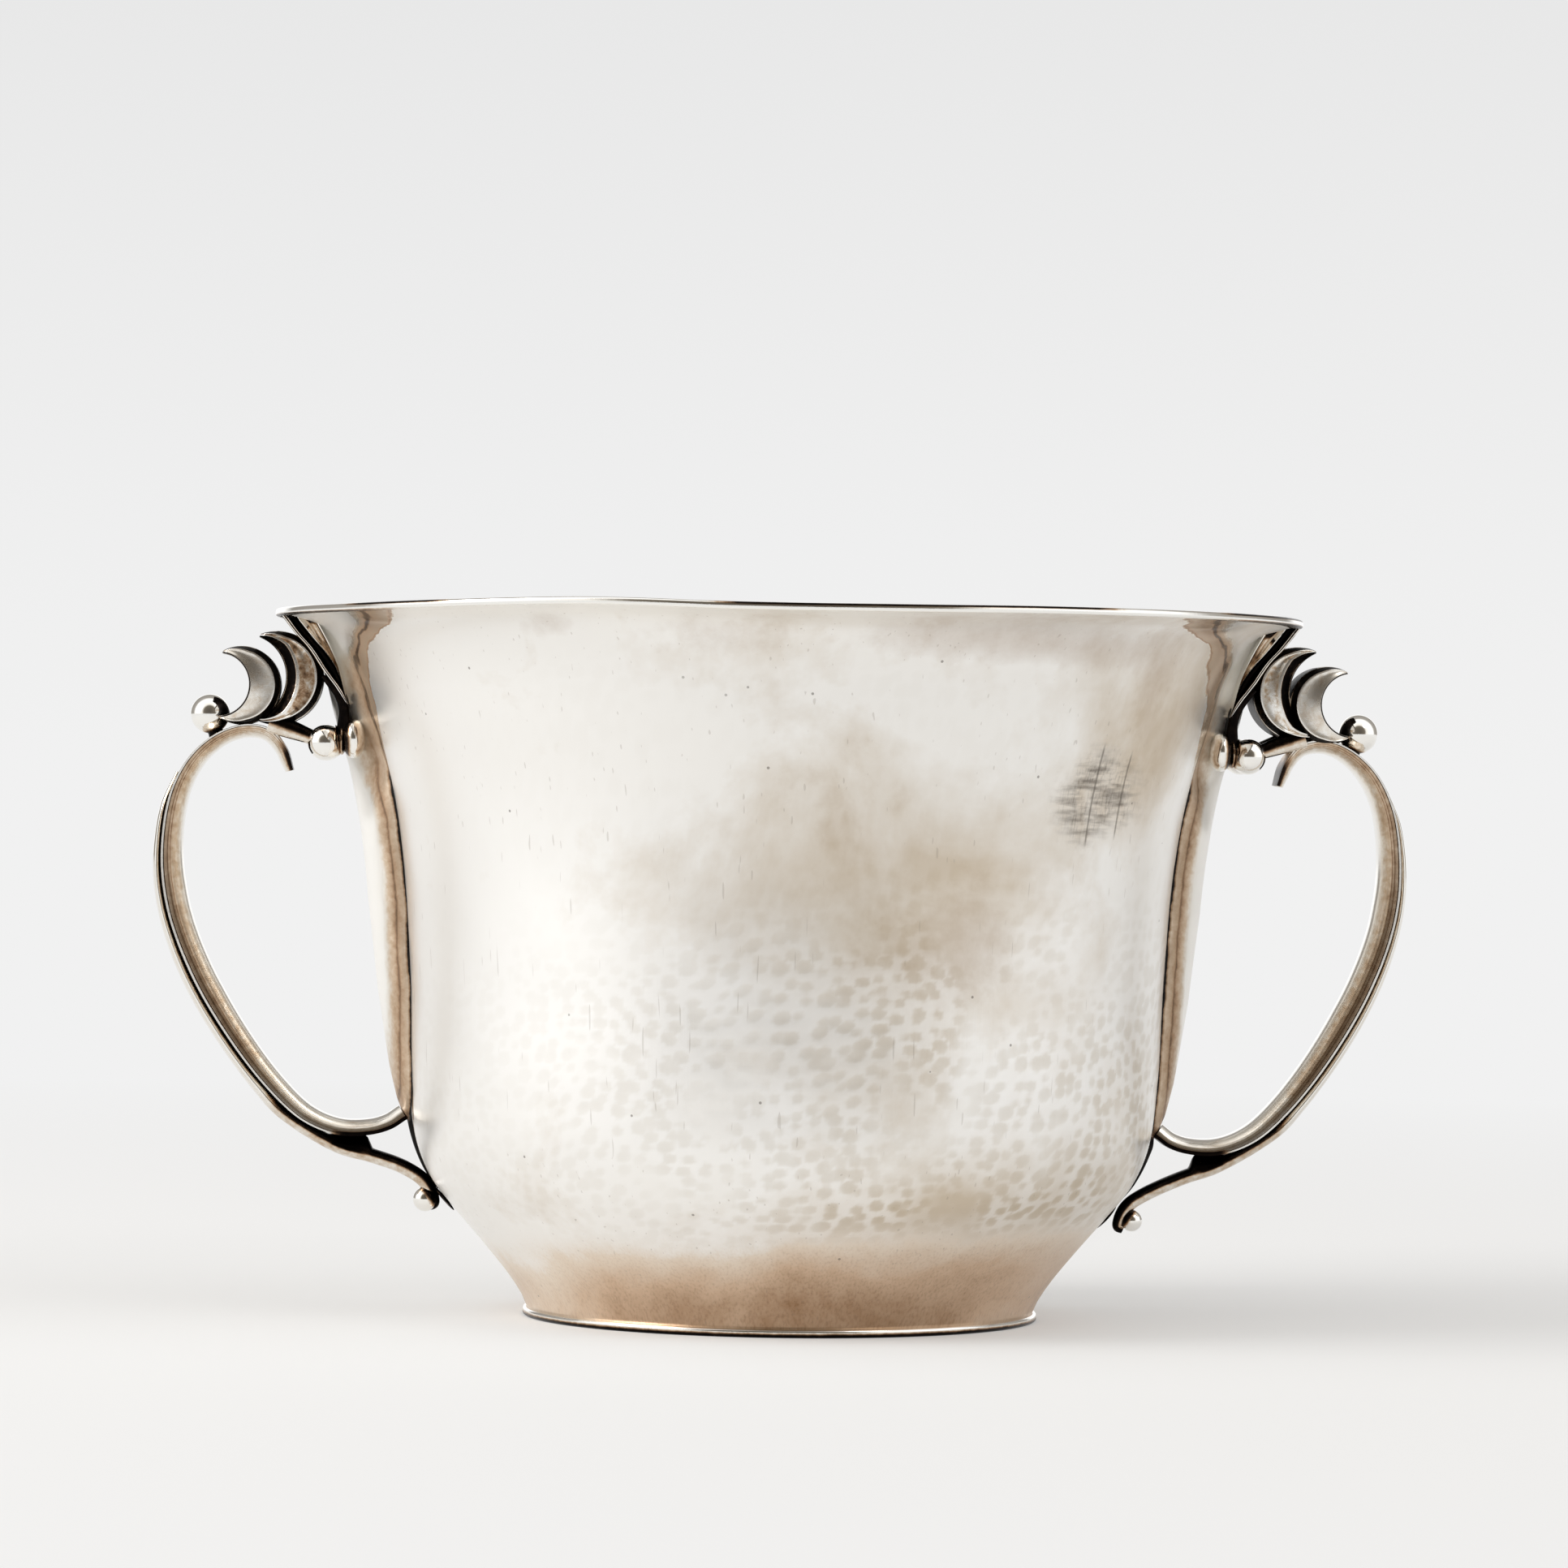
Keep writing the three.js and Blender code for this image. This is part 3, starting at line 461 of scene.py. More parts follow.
def clouds(table, angle, height):
    """Sum of soft round patches on the wall: for each, a bell over the distance from its middle
    as a share of its half width and half height. The wall's radius is taken roughly here."""
    levels, radii = (0, 60, 116), (42, 63, 80)
    total = np.zeros(np.broadcast(angle, height).shape)
    for degrees, level, wide, high, strength in table:
        around = (np.degrees(angle) - degrees + 180) % 360 - 180
        across = np.radians(around) * np.interp(level, levels, radii) / wide
        total += strength * np.exp(-0.7 * (across**2 + ((height - level) / high) ** 2))
    return total


def wall_radius(height):
    """Radius of the wall's outside at a height."""
    curve = smooth_curve(wall_stations(), np.linspace(0, 1, 1500))
    return np.interp(height, curve[:, 1], curve[:, 0])


def place(out, drop, side):
    """X and Z in a handle's plane, from distance out of the wall and depth below the rim."""
    out, drop = np.asarray(out, float), np.asarray(drop, float)
    hang = np.maximum(drop - STRAP_TOP_DROP, 0) * (side["sag"] - 1)
    z = settings()[0].height / MM - drop - hang
    far = np.where(drop > STRAP_TOP_DROP, side["reach"], 1.0)
    return wall_radius(z) + out * far, z


def path_of(stations, side):
    """Stations in a handle's plane as X and Z."""
    table = np.asarray(stations, float)
    return np.stack(place(table[:, 0], table[:, 1], side), 1)


def right_of(points):
    """Unit vectors to the right of the direction of travel along a path in the XZ plane."""
    along = np.gradient(points, axis=0)
    along /= np.linalg.norm(along, axis=1)[:, None]
    return np.stack([along[:, 1], -along[:, 0]], 1)


def swept(path, across, depth):
    """A section carried along a path: each point lies across times the right-hand direction from
    the path in the XZ plane, and depth along Y. across and depth have a row for each path point.
    """
    right = right_of(path)
    x, z = (path[:, k : k + 1] + right[:, k : k + 1] * across for k in (0, 1))
    return np.stack([x, depth, z], 2)


def tilted(flat, lean, x, z):
    """Points about the origin, leant over from +Z towards +X and moved to X and Z."""
    c, s = math.cos(lean), math.sin(lean)
    across, up = flat[..., 0], flat[..., 2]
    return np.stack([x + c * across + s * up, flat[..., 1], z - s * across + c * up], 2)


def turned(grid, side):
    """A grid of the right side turned half round the bowl's axis for the left side."""
    return grid * np.array([side["turn"], side["turn"], 1.0])


def skin(name, grid, values=None, closed_rows=False, sharp=35.0):
    """A closed mesh over a grid of points: columns run round each section and close on themselves,
    and rows follow each other along the piece. Rows close on themselves too, or each end is
    closed by a fan. values holds numbers for each grid point, kept as attributes.
    """
    rows, cols = grid.shape[:2]
    points = grid.reshape(-1, 3)
    i = np.arange(rows if closed_rows else rows - 1)[:, None]
    j = np.arange(cols)[None, :]
    below, above = i * cols, ((i + 1) % rows) * cols
    right = (j + 1) % cols
    quads = np.stack([below + j, below + right, above + right, above + j], -1).reshape(-1, 4)
    tris = np.zeros((0, 3), int)
    if not closed_rows:
        hubs = np.stack([grid[0].mean(0), grid[-1].mean(0)])
        points = np.vstack([points, hubs])
        k = np.arange(cols)
        first = np.stack([np.full(cols, rows * cols), (k + 1) % cols, k], 1)
        top = (rows - 1) * cols
        last = np.stack([np.full(cols, rows * cols + 1), top + k, top + (k + 1) % cols], 1)
        tris = np.vstack([first, last])
    a, b, c = (points[np.vstack([quads[:, :3], quads[:, [0, 2, 3]], tris])[:, n]] for n in range(3))
    # Six times the volume inside: negative where the faces point inwards.
    if np.einsum("ij,ij->", np.cross(b - a, c - a), a) < 0:
        quads, tris = quads[:, ::-1], tris[:, ::-1]
    mesh = bpy.data.meshes.new(name)
    loops = np.concatenate([quads.ravel(), tris.ravel()])
    starts = np.cumsum(np.repeat((0, 4, 3), (1, len(quads), len(tris))))[:-1]
    mesh.vertices.add(len(points))
    mesh.vertices.foreach_set("co", (points * MM).ravel())
    mesh.loops.add(len(loops))
    mesh.loops.foreach_set("vertex_index", loops)
    mesh.polygons.add(len(starts))
    mesh.polygons.foreach_set("loop_start", starts)
    mesh.update(calc_edges=True)
    mesh.validate()
    mesh.polygons.foreach_set("use_smooth", np.ones(len(mesh.polygons), bool))
    mesh.set_sharp_from_angle(angle=math.radians(sharp))
    for key, numbers in (values or {}).items():
        flat = np.broadcast_to(numbers, grid.shape[:2])
        full = flat.ravel()
        if not closed_rows:
            full = np.concatenate([full, [flat[0].mean(), flat[-1].mean()]])
        carried = mesh.attributes.new(key, "FLOAT", "POINT")
        carried.data.foreach_set("value", full.astype(np.float32))
    piece = bpy.data.objects.new(name, mesh)
    bpy.context.scene.collection.objects.link(piece)
    return piece


def make_piece(
    name, grid, values, side=None, finish=None,
    closed_rows=False, sharp=35.0,
):
    """Skins a grid as the piece that stands for the CAD node of its name and rides with the bowl.
    A side turns the grid to it. The finish is that of the plain trim unless one is given."""
    piece = skin(name, turned(grid, side) if side else grid, values, closed_rows, sharp)
    piece.data.materials.append(finish or tarnished_and_shaded_silver("trim_silver"))
    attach(piece, "root")
    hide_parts(name)


# The vessel.


def hammer_marks(angle, run, radius):
    """Depth from 0 to 1 of the planishing marks at an angle round the bowl and a run up the wall.

    The wall is laid out in rows of cells; each row has a whole number of cells round the bowl and
    starts at its own angle. Each cell has one mark, moved off its middle by hashed amounts and of
    a hashed size, and a mark is an oval paraboloid, 1 at its middle and 0 at its edge. Slow waves
    bend the rows.
    """
    pitch = settings()[0].hammer_pitch / MM
    rise = pitch * 0.74
    bend = 1.1 * np.sin(9 * angle + 0.07 * run) + 0.5 * np.sin(17 * angle - 0.1 * run)
    shift = 1.3 * np.sin(5 * angle + 0.17 * run)
    run, angle = run + bend, angle + shift / 60
    row = np.floor(run / rise)
    depth = np.zeros_like(run)
    for up in (-1, 0, 1):
        level = row + up
        girth = 2 * np.pi * np.interp(level * rise, radius[:, 1], radius[:, 0])
        cells = np.maximum(np.round(girth / pitch), 8)
        start = hashed(level, 3.7, 0.0)
        cell = np.floor(angle / (2 * np.pi) * cells + start)
        for over in (-1, 0, 1):
            index = (cell + over) % cells
            side, lift, size = (hashed(index, factor, level) for factor in (12.9898, 39.346, 7.13))
            middle = (cell + over - start + 0.5 + (side - 0.5) * 0.65) / cells
            across = (angle / (2 * np.pi) - middle) * cells
            along = run / rise - level - 0.5 - (lift - 0.5) * 0.7
            reach = 0.35 + 0.2 * size
            bowl = 1 - (across**2 + (0.95 * along) ** 2) / reach**2
            depth = np.maximum(depth, bowl * (0.45 + 0.55 * size))
    return np.clip(depth, 0, 1)


def hashed(index, factor, level):
    """A number from 0 to 1 that looks random but is fixed for each cell and row."""
    wild = np.sin(index * factor + level * 78.233 + factor) * 43758.5453
    return wild - np.floor(wild)


def waviness(angle, height):
    """A gentle unevenness left by hand raising: a sum of a few slow waves, from -1 to 1."""
    return (
        0.4 * np.sin(3 * angle + 0.05 * height)
        + 0.3 * np.sin(7 * angle - 0.11 * height + 1.7)
        + 0.2 * np.sin(13 * angle + 0.17 * height)
        + 0.1 * np.sin(29 * angle + 0.31 * height + 2.3)
    )


def wall_rows(rows):
    """The wall's outside as rows that lie closest where the hammer marks and the lip are."""
    dense = smooth_curve(wall_stations(), np.linspace(0, 1, 2400))
    z = dense[:, 1]
    weight = 0.5 + 1.2 * eased(z, 5, 12) * (1 - eased(z, 62, 76)) + 0.9 * eased(z, 98, 108)
    total = np.cumsum(weight)
    at = np.interp(np.linspace(total[0], total[-1], rows), total, np.arange(len(total)))
    return np.stack([np.interp(at, np.arange(len(total)), dense[:, k]) for k in (0, 1)], 1)


# How finely the wall is divided, outside and inside, and round the bowl.
OUTSIDE_ROWS, INSIDE_ROWS, WALL_COLUMNS = 142, 30, 540
# The bend between wall and floor inside: height over the floor, and how far in from the wall.
FLOOR_BEND = [(3.2, 2.2), (1.3, 4.0), (0.1, 8.0)]
# The floor's grid ends this near its middle.
HUB_RADIUS = 0.4


def build_bowl_body():
    """The wall is a profile turned round the Z axis: outside up to the lip, inside down to the
    floor, and the flat underside. The planishing marks are pressed into it along its normal."""
    sizes = settings()[0]
    sheet = sizes.sheet / MM
    height = sizes.height / MM
    fine = wall_rows(OUTSIDE_ROWS)
    coarse = smooth_curve(wall_stations(), np.linspace(0, 1, INSIDE_ROWS))
    inside = coarse - right_of(coarse) * sheet
    inside = inside[inside[:, 1] > FLOOR_HEIGHT + 4.5][::-1]
    bend = [(wall_radius(FLOOR_HEIGHT + up) - back, FLOOR_HEIGHT + up) for up, back in FLOOR_BEND]
    floor = smooth_curve([tuple(inside[-1]), *bend], np.linspace(0.15, 1, 7))
    skirt = fine[0, 0]
    under = FLOOR_HEIGHT - FLOOR_THICKNESS
    lip = np.array([(fine[-1, 0] + 0.05, height - 0.5), (fine[-1, 0] - 0.1, height - 0.05)])
    tail = [
        (30.0, FLOOR_HEIGHT), (HUB_RADIUS, FLOOR_HEIGHT), (HUB_RADIUS, under),
        (skirt - sheet - 2.0, under), (skirt - sheet, under - 0.9),
        (skirt - sheet, FOOT_RING[1] + 0.2), (skirt - 0.5 * sheet, FOOT_RING[1]),
    ]
    profile = np.vstack([fine, lip, inside, floor, tail])
    run = np.concatenate([[0], np.cumsum(np.linalg.norm(np.diff(profile, axis=0), axis=1))])
    radius = np.stack([profile[:, 0], run], 1)
    a, s = np.meshgrid(circle(WALL_COLUMNS), run)
    z = np.broadcast_to(profile[:, 1:2], a.shape)
    normal = right_of(profile)
    outside = (np.arange(len(profile)) < len(fine))[:, None] * np.ones_like(a)
    marks = hammer_marks(a, s, radius[: len(fine)]) * outside
    # The marks show best low on the right, and less towards the skirt, the left and the lip.
    right_half = 0.5 + 0.5 * np.cos(a - 0.75)
    zone = eased(z, 11, 20) * (1 - 0.85 * eased(z, 44, 60 + 20 * right_half))
    zone = zone * (1 - eased(z, 104, 112)) * (0.25 + 0.75 * eased(right_half, 0.45, 0.8))
    slow = waviness(a, z) * 0.12 * eased(z, 6, 30) * (1 - eased(z, 98, 112))
    move = slow - marks * zone * sizes.hammer_depth / MM
    r = profile[:, :1] + normal[:, :1] * move
    flat = np.stack([r * np.sin(a), -r * np.cos(a), z], 2)
    grid = flat + np.stack([0 * a, 0 * a, normal[:, 1:] * move + lip_rise(a, z)], 2)
    crease = np.where(a < np.pi, *(crease_field(flat, SIDES[label]) for label in ("right", "left")))
    # The brushed tan skirt: strongest in front, and a little higher to the right.
    in_front = 0.56 + 0.44 * np.clip(np.cos(a), 0, 1) ** 2.5
    values = {
        "mark": marks,
        "zone": zone * outside,
        "crease": np.where(outside > 0, crease, 4),
        "low": 1 - eased(z, height - 30, height - 14),
        "grey": clouds(GREY_CLOUDS, a, z),
        "tan": clouds(TAN_CLOUDS, a, z),
        "scuff": clouds([(*SCUFF, 1.3)], a, z) * outside,
        "bloom": (1 - eased(z, 4, 18 + 4 * np.cos(a - 0.9))) * in_front,
        "drip": drip_stain(flat) * outside,
    }
    make_piece(
        "bowl_body", grid, values, None, hammered_silver(),
        closed_rows=True, sharp=60,
    )


def ring_section(inner, outer, low, high, corner, steps=6):
    """A rectangle with rounded outer corners, as radius and height, counted round once."""
    turn = np.linspace(-np.pi / 2, 0, steps)
    r, z = outer - corner + corner * np.cos(turn), corner + corner * np.sin(turn)
    bottom, top = np.stack([r, low + z], 1), np.stack([r, high - z], 1)[::-1]
    return np.vstack([[(inner, low)], bottom, top, [(inner, high)]])


def build_rim_and_foot():
    """Both are a rounded rectangle turned round the Z axis. The rim rises and falls with the
    hand-cut edge of the lip."""
    sizes = settings()[0]
    height, mouth = sizes.height / MM, sizes.mouth_radius / MM
    angle = circle(420)[:, None]
    rim = ring_section(mouth - RIM_WIRE[0] - 0.6, mouth, height - RIM_WIRE[1], height, 0.42)
    foot_top = FOOT_RING[1] + 0.1
    foot = ring_section(FOOT_RADIUS - FOOT_RING[0], FOOT_RADIUS, 0.0, foot_top, 0.5, 10)
    by_handles = eased(np.abs(np.sin(angle)), 0.72, 0.9)
    degrees = np.degrees((angle + np.pi) % (2 * np.pi) - np.pi)
    upper = sum(
        eased(degrees, first - 4, first + 2) * (1 - eased(degrees, last - 2, last + 4))
        for first, last in RIM_LINES
    )
    # Of each: its section, its wave, how high its lower black line reaches, and how dark that line
    # and the one on its upper edge are. The lower lines are painted shadow: under the rim wire
    # beside the handles, and where the foot ring meets the table, there together with tarnish.
    for name, section, wave, edge, dark, top_dark in (
        ("rim_wire", rim, lip_wave(angle), 0.2, 0.8 * by_handles, 0.95 * upper),
        ("foot_ring", foot, 0.0, 0.58, 1.0, 0.0),
    ):
        r = section[None, :, 0] * np.ones_like(angle)
        z = section[None, :, 1] + wave
        grid = np.stack([r * np.sin(angle), -r * np.cos(angle), z * np.ones_like(angle)], 2)
        low = 1 - eased(section[None, :, 1] - section[:, 1].min(), edge * 0.8, edge)
        top = eased(section[None, :, 1] - section[:, 1].max(), -0.42, -0.3)
        top = top * eased(section[None, :, 0] - section[:, 0].max(), -0.42, -0.2)
        tarnish_and_shade = np.maximum(low * dark, top * top_dark) * np.ones_like(angle)
        make_piece(name, grid, {"tarnish_and_shade": tarnish_and_shade}, closed_rows=True)


# The handles.


def build_side_ribs():
    """Each rib is half an oval that stands on the wall between two creases, and near the lip it
    melts into the wall. The creases waver a little, as filed by hand. Its back lies inside the
    wall's sheet. Below its foot a thin tail runs on to the curl."""
    rows, back_columns = 170, 20
    share = np.linspace(0, 1, rows)
    drop = RIB[0][0] + (RIB[-1][0] - RIB[0][0]) * (1 - (1 - share) ** 1.35)
    drops, proud, half = np.asarray(RIB).T
    half = np.interp(drop, drops, half)[:, None]
    round_part = eased(drop, *RIB_ROUNDS)[:, None]
    share = np.sin(np.linspace(-np.pi / 2, np.pi / 2, 75))[None, :]
    oval, soft = np.sqrt(1 - share**2), (1 - share**2) ** 5
    for label, side in SIDES.items():
        tail = 1 + (side["tail"] - 1) * eased(drop, 84, 87)
        x, z = place(np.zeros(rows), drop, side)
        waver = 0.22 * np.sin(drop * 0.42 + 1.0) + 0.08 * np.sin(drop * 0.93)
        edge = np.radians(crease_at(drop, side)[0])
        reach = np.minimum(x * edge + waver, RIB_REACH)[:, None]
        reach = np.maximum(reach * np.sqrt(eased(RIB_FOOT - drop, 0, 7.0))[:, None], half * 0.7)
        h = (np.interp(drop, drops, proud) * tail)[:, None]
        h = h * (round_part * oval + (1 - round_part) * soft) - 0.25 * share**12
        behind = np.linspace(0.95, -0.95, back_columns)[None, :]
        y = reach * np.hstack([share, behind])
        h = np.hstack([h, np.full((rows, back_columns), -BACK_DEPTH)])
        radius, z = x[:, None], z[:, None]
        r = radius + h
        rise = lip_rise(np.pi / 2 * side["turn"], z)
        grid = np.stack([r * np.cos(y / radius), r * np.sin(y / radius), z + rise + 0 * r], 2)
        grid = turned(grid, side)
        # The rib's foot is tarnished, most at its sides, and the tail is black.
        sideways = 0.3 + 0.7 * eased(np.abs(y) / reach, 0.1, 0.6)
        cup = 0.55 * eased(drop, 81.5, 84.0)[:, None] * sideways
        cup = np.maximum(cup, 0.95 * eased(drop, 84.0, 85.6)[:, None])
        stain = crease_field(grid, side)
        stain = stain + (-h / 3.0 - stain) * round_part
        values = {"crease": stain, "tarnish_and_shade": cup, "low": eased(drop, 14, 30)[:, None]}
        finish = tarnished_and_shaded_silver("rib_silver", creased=True, mottle=0.5, satin=0.24)
        make_piece(f"{label}_side_rib", grid, values, finish=finish, sharp=70)


def strap_path(side, shares):
    """The grip's back at shares of its length."""
    return smooth_curve(path_of(STRAP_BACK, side), shares)


def build_straps():
    """The grip: a D carried along its back, flat behind and rounded towards the fingers."""
    for label, side in SIDES.items():
        rows = 320
        shares = np.linspace(0, 1, rows)
        path = strap_path(side, shares)
        thick = graded(STRAP_THICK, shares)[:, None]
        wide = graded(STRAP_WIDE, shares)[:, None]
        turn = np.linspace(0, np.pi, 91)[None, :]
        bulge = np.sin(turn) ** 0.85
        flat = np.linspace(1, -1, 13)[None, 1:-1]
        hollow = np.broadcast_to(0.02 + 0.08 * np.abs(flat) ** 6, (rows, flat.size))
        across = np.hstack([0.1 + (thick - 0.1) * bulge, hollow])
        aside = np.sign(np.cos(turn)) * np.abs(np.cos(turn)) ** 0.85
        depth = wide * np.hstack([aside, -flat])
        grid = swept(path, across, depth)
        lines = np.hstack([bulge, 0 * flat]) * np.ones((rows, 1))
        head = 0.85 * eased(0.07 - shares, 0, 0.05)[:, None] * (1 - eased(lines, 0.25, 0.6))
        # The tail's black on the grip's flat back and edges near the leg is painted shade on the
        # side of its thickness.
        tail = 0.95 * eased(shares, 0.87, 0.9)[:, None] * (1 - eased(lines, 0.2, 0.3))
        worn = eased(shares, 0.68, 0.84)[:, None] + 0.6 * (1 - eased(shares, 0.06, 0.16))[:, None]
        values = {"across": lines, "tarnish_and_shade": np.maximum(head, tail), "worn": worn}
        finish = tarnished_and_shaded_silver("grip_silver", GRIP_LINES, mottle=0.8, satin=0.08)
        make_piece(f"{label}_handle_strap", grid, values, side, finish, sharp=50)


def spine_path(side, shares):
    """The spine's middle: along the grip's back, half its thickness off it, then down the leg."""
    followed = np.linspace(0, 1, 12)
    u = SPINE_START + (SPINE_LEAVES - SPINE_START) * followed
    fine = strap_path(side, np.linspace(0, 1, 400))
    right = right_of(fine)
    at = np.round(u * 399).astype(int)
    half = graded(SPINE_THICK, followed * 0.62)[:, None] / 2
    first = fine[at] - right[at] * (half + 0.06)
    out, drop = np.asarray(LEG, float).T
    share = eased(LEG[0][0] - out, 0, LEG[0][0] - LEG[3][0])
    leg = np.stack(place(out - side["leg_in"] * share, drop - side["leg_up"] * share, side), 1)
    return smooth_curve(np.vstack([first, leg]), shares)


def build_spines():
    """The spine and its curled leg: an oval carried along its middle line. Where the leg parts
    from the grip, its side towards the grip is drawn out to the grip's back, as the solder is."""
    for label, side in SIDES.items():
        rows = 320
        shares = np.interp(np.linspace(0, 1, rows), (0, 0.7, 1), (0, 0.86, 1))
        path = spine_path(side, shares)
        right = right_of(path)
        back = strap_path(side, np.linspace(0.3, 1, 900))
        gap = back[None, :, :] - path[:, None, :]
        ahead = np.einsum("rk,rpk->rp", right, gap)
        aside = np.abs(np.einsum("rk,rpk->rp", np.stack([-right[:, 1], right[:, 0]], 1), gap))
        reach = np.where(aside.min(1) < 0.4, ahead[np.arange(rows), aside.argmin(1)], 99)[:, None]
        half = graded(SPINE_THICK, shares)[:, None] / 2
        wide = graded(SPINE_WIDE, shares)[:, None]
        web = eased(reach - half, 0.2, 0.6) * (1 - eased(reach, WEB_GAP - 1.2, WEB_GAP))
        web = web * (shares > 0.4)[:, None]
        turn = circle(48)
        facing = np.sin(turn) * np.ones_like(half)
        far = np.where(facing > 0, half + web * (reach + 0.4 - half), half)
        wide = wide * (1 - 0.35 * web * eased(facing, 0, 1))
        grid = swept(path, far * facing, wide * np.cos(turn))
        leg = eased(shares, 0.6, 0.68)[:, None]
        tarnish_and_shade = leg * (0.22 + 0.75 * eased(facing, -0.25, 0.35))
        tarnish_and_shade = np.maximum(tarnish_and_shade, web * eased(facing, -0.3, 0.1))
        curl = 0.7 * eased(shares, 0.93, 0.97)[:, None] * eased(facing, -0.2, 0.5)
        tarnish_and_shade = np.clip(tarnish_and_shade + curl, 0, 1)
        values = {"across": 0.5 + 0.5 * facing, "tarnish_and_shade": tarnish_and_shade, "worn": 0.3}
        finish = tarnished_and_shaded_silver("spine_silver", SPINE_LINES)
        make_piece(f"{label}_handle_spine", grid, values, side, finish, sharp=60)


def ball_grid(radius, centre, rows=40, cols=56, squash=(1, 1, 1)):
    """A sphere about an axis along X: radius times the sine of the way from pole to pole."""
    v = np.linspace(0, np.pi, rows + 2)[1:-1, None]
    u = circle(cols)
    unit = np.stack([np.cos(v) + 0 * u, np.sin(v) * np.cos(u), np.sin(v) * np.sin(u)], 2)
    return unit * radius * np.array(squash) + np.array(centre)


def build_beads_and_pads():
    """The bead in the curl is a sphere. The pad is a flattened ellipsoid that lies along the
    wall's slope and tapers downwards."""
    for label, side in SIDES.items():
        x, z = place(*side["bead"], side)
        grid = ball_grid(side["bead_radius"], (x, 0, z), 28, 40)
        towards = (grid[..., 2] - z) * 0.6 + (x - grid[..., 0]) * 0.8
        make_piece(f"{label}_spine_bead", grid, {"tarnish_and_shade": 0.9 * eased(towards, 0.1, 0.9)}, side)
        drop, long, wide, thick = PAD
        x, z = place(0, drop, side)
        lean = math.atan((wall_radius(z + 1) - wall_radius(z - 1)) / 2)
        flat = ball_grid(1.0, (thick / 2 + 0.1, 0, 0), 24, 32, (thick / 2, wide, long))
        flat[..., 1] *= 1 - 0.55 * np.clip(-flat[..., 2] / long, 0, 1) ** 2
        grid = tilted(flat, lean, x, z)
        make_piece(f"{label}_spine_pad", grid, {"tarnish_and_shade": 0.8}, side)


def crescent_grid(shape, side, half_depth, bevel, hollow_bevel, plain):
    """A crescent between two circles: at each share of the way from horn to horn, the section runs
    from the outer circle to the hollow one, with a flat face in front and behind and a sloping
    bevel to either side of it. Returns the grid and its patina."""
    centre_at, big, hollow_at, small = shape
    centre = np.array(place(*centre_at, side))
    hollow = np.array(place(*hollow_at, side))
    apart = np.linalg.norm(hollow - centre)
    lean = math.atan2(*(hollow - centre)[::-1])
    along = (big**2 - small**2 + apart**2) / (2 * apart)
    horn, hollow_horn = math.acos(along / big), math.acos((along - apart) / small)
    u = 0.5 - 0.5 * np.cos(np.linspace(0.36, np.pi - 0.36, 110))
    a = lean + horn + (2 * np.pi - 2 * horn) * u
    b = lean + hollow_horn + (2 * np.pi - 2 * hollow_horn) * u
    outer = centre + big * np.stack([np.cos(a), np.sin(a)], 1)
    inner = hollow + small * np.stack([np.cos(b), np.sin(b)], 1)
    width = np.linalg.norm(outer - inner, axis=1)
    slope = np.minimum(bevel / width, 0.3)[:, None]
    hollow_slope = np.minimum(hollow_bevel / width, 0.42)[:, None]
    blunt = np.sqrt(np.clip(np.minimum(u, 1 - u) / 0.06, 0, 1))[:, None]
    deep = (half_depth * (0.62 + 0.38 * np.sqrt(np.sin(np.pi * u))))[:, None]
    deep = deep * (0.75 + 0.25 * blunt)
    fall = np.minimum(1.5, deep * 0.45)
    face = np.linspace(0.0, 1.0, 13)[1:-1]
    shares, depths, tarnish_and_shade = [], [], []
    for across, rise, dark in BEVEL:
        shares.append(across * slope)
        depths.append(deep - fall * (1 - rise))
        tarnish_and_shade.append(dark)
    for k in face:
        shares.append(slope * 1.2 + (1 - 1.2 * slope - 1.2 * hollow_slope) * k)
        depths.append(deep - 0.14 * math.sin(math.pi * k))
        tarnish_and_shade.append(plain)
    for across, rise, dark in BEVEL[::-1]:
        shares.append(1 - across * hollow_slope)
        depths.append(deep - fall * (1 - rise) * np.minimum(hollow_bevel / bevel, 1))
        tarnish_and_shade.append(dark)
    share = np.hstack([*shares, *shares[::-1]])
    front = np.hstack(depths)
    depth = np.hstack([-front, front[:, ::-1]])
    dark = np.minimum(np.array(tarnish_and_shade + tarnish_and_shade[::-1]), 0.35 + 0.65 * blunt)
    x, z = (start[:, None] + (end - start)[:, None] * share for start, end in zip(outer.T, inner.T))
    return np.stack([x, depth, z], 2), dark


def build_crescents():
    """The large crescent has a broad black bevel to its hollow side, and the small one a thin."""
    half_depth = settings()[0].crescent_depth / MM
    for label, side in SIDES.items():
        for name, shape, bevel, hollow_bevel, mottle, plain in (
            ("small_crescent", SMALL_CRESCENT, 1.0, 0.3, 1.8, 0.12),
            ("large_crescent", LARGE_CRESCENT, 1.1, 1.8, 2.6, side["stain"]),
        ):
            centre, big, hollow, small = shape
            if name == "small_crescent":
                centre, hollow = np.add(centre, side["moon"]), np.add(hollow, side["moon"])
            shape = (centre, big, hollow, small)
            grid, dark = crescent_grid(shape, side, half_depth, bevel, hollow_bevel, plain)
            finish = tarnished_and_shaded_silver(f"{name}_silver", mottle=mottle, satin=0.14)
            make_piece(f"{label}_{name}", grid, {"tarnish_and_shade": dark}, side, finish, sharp=28)


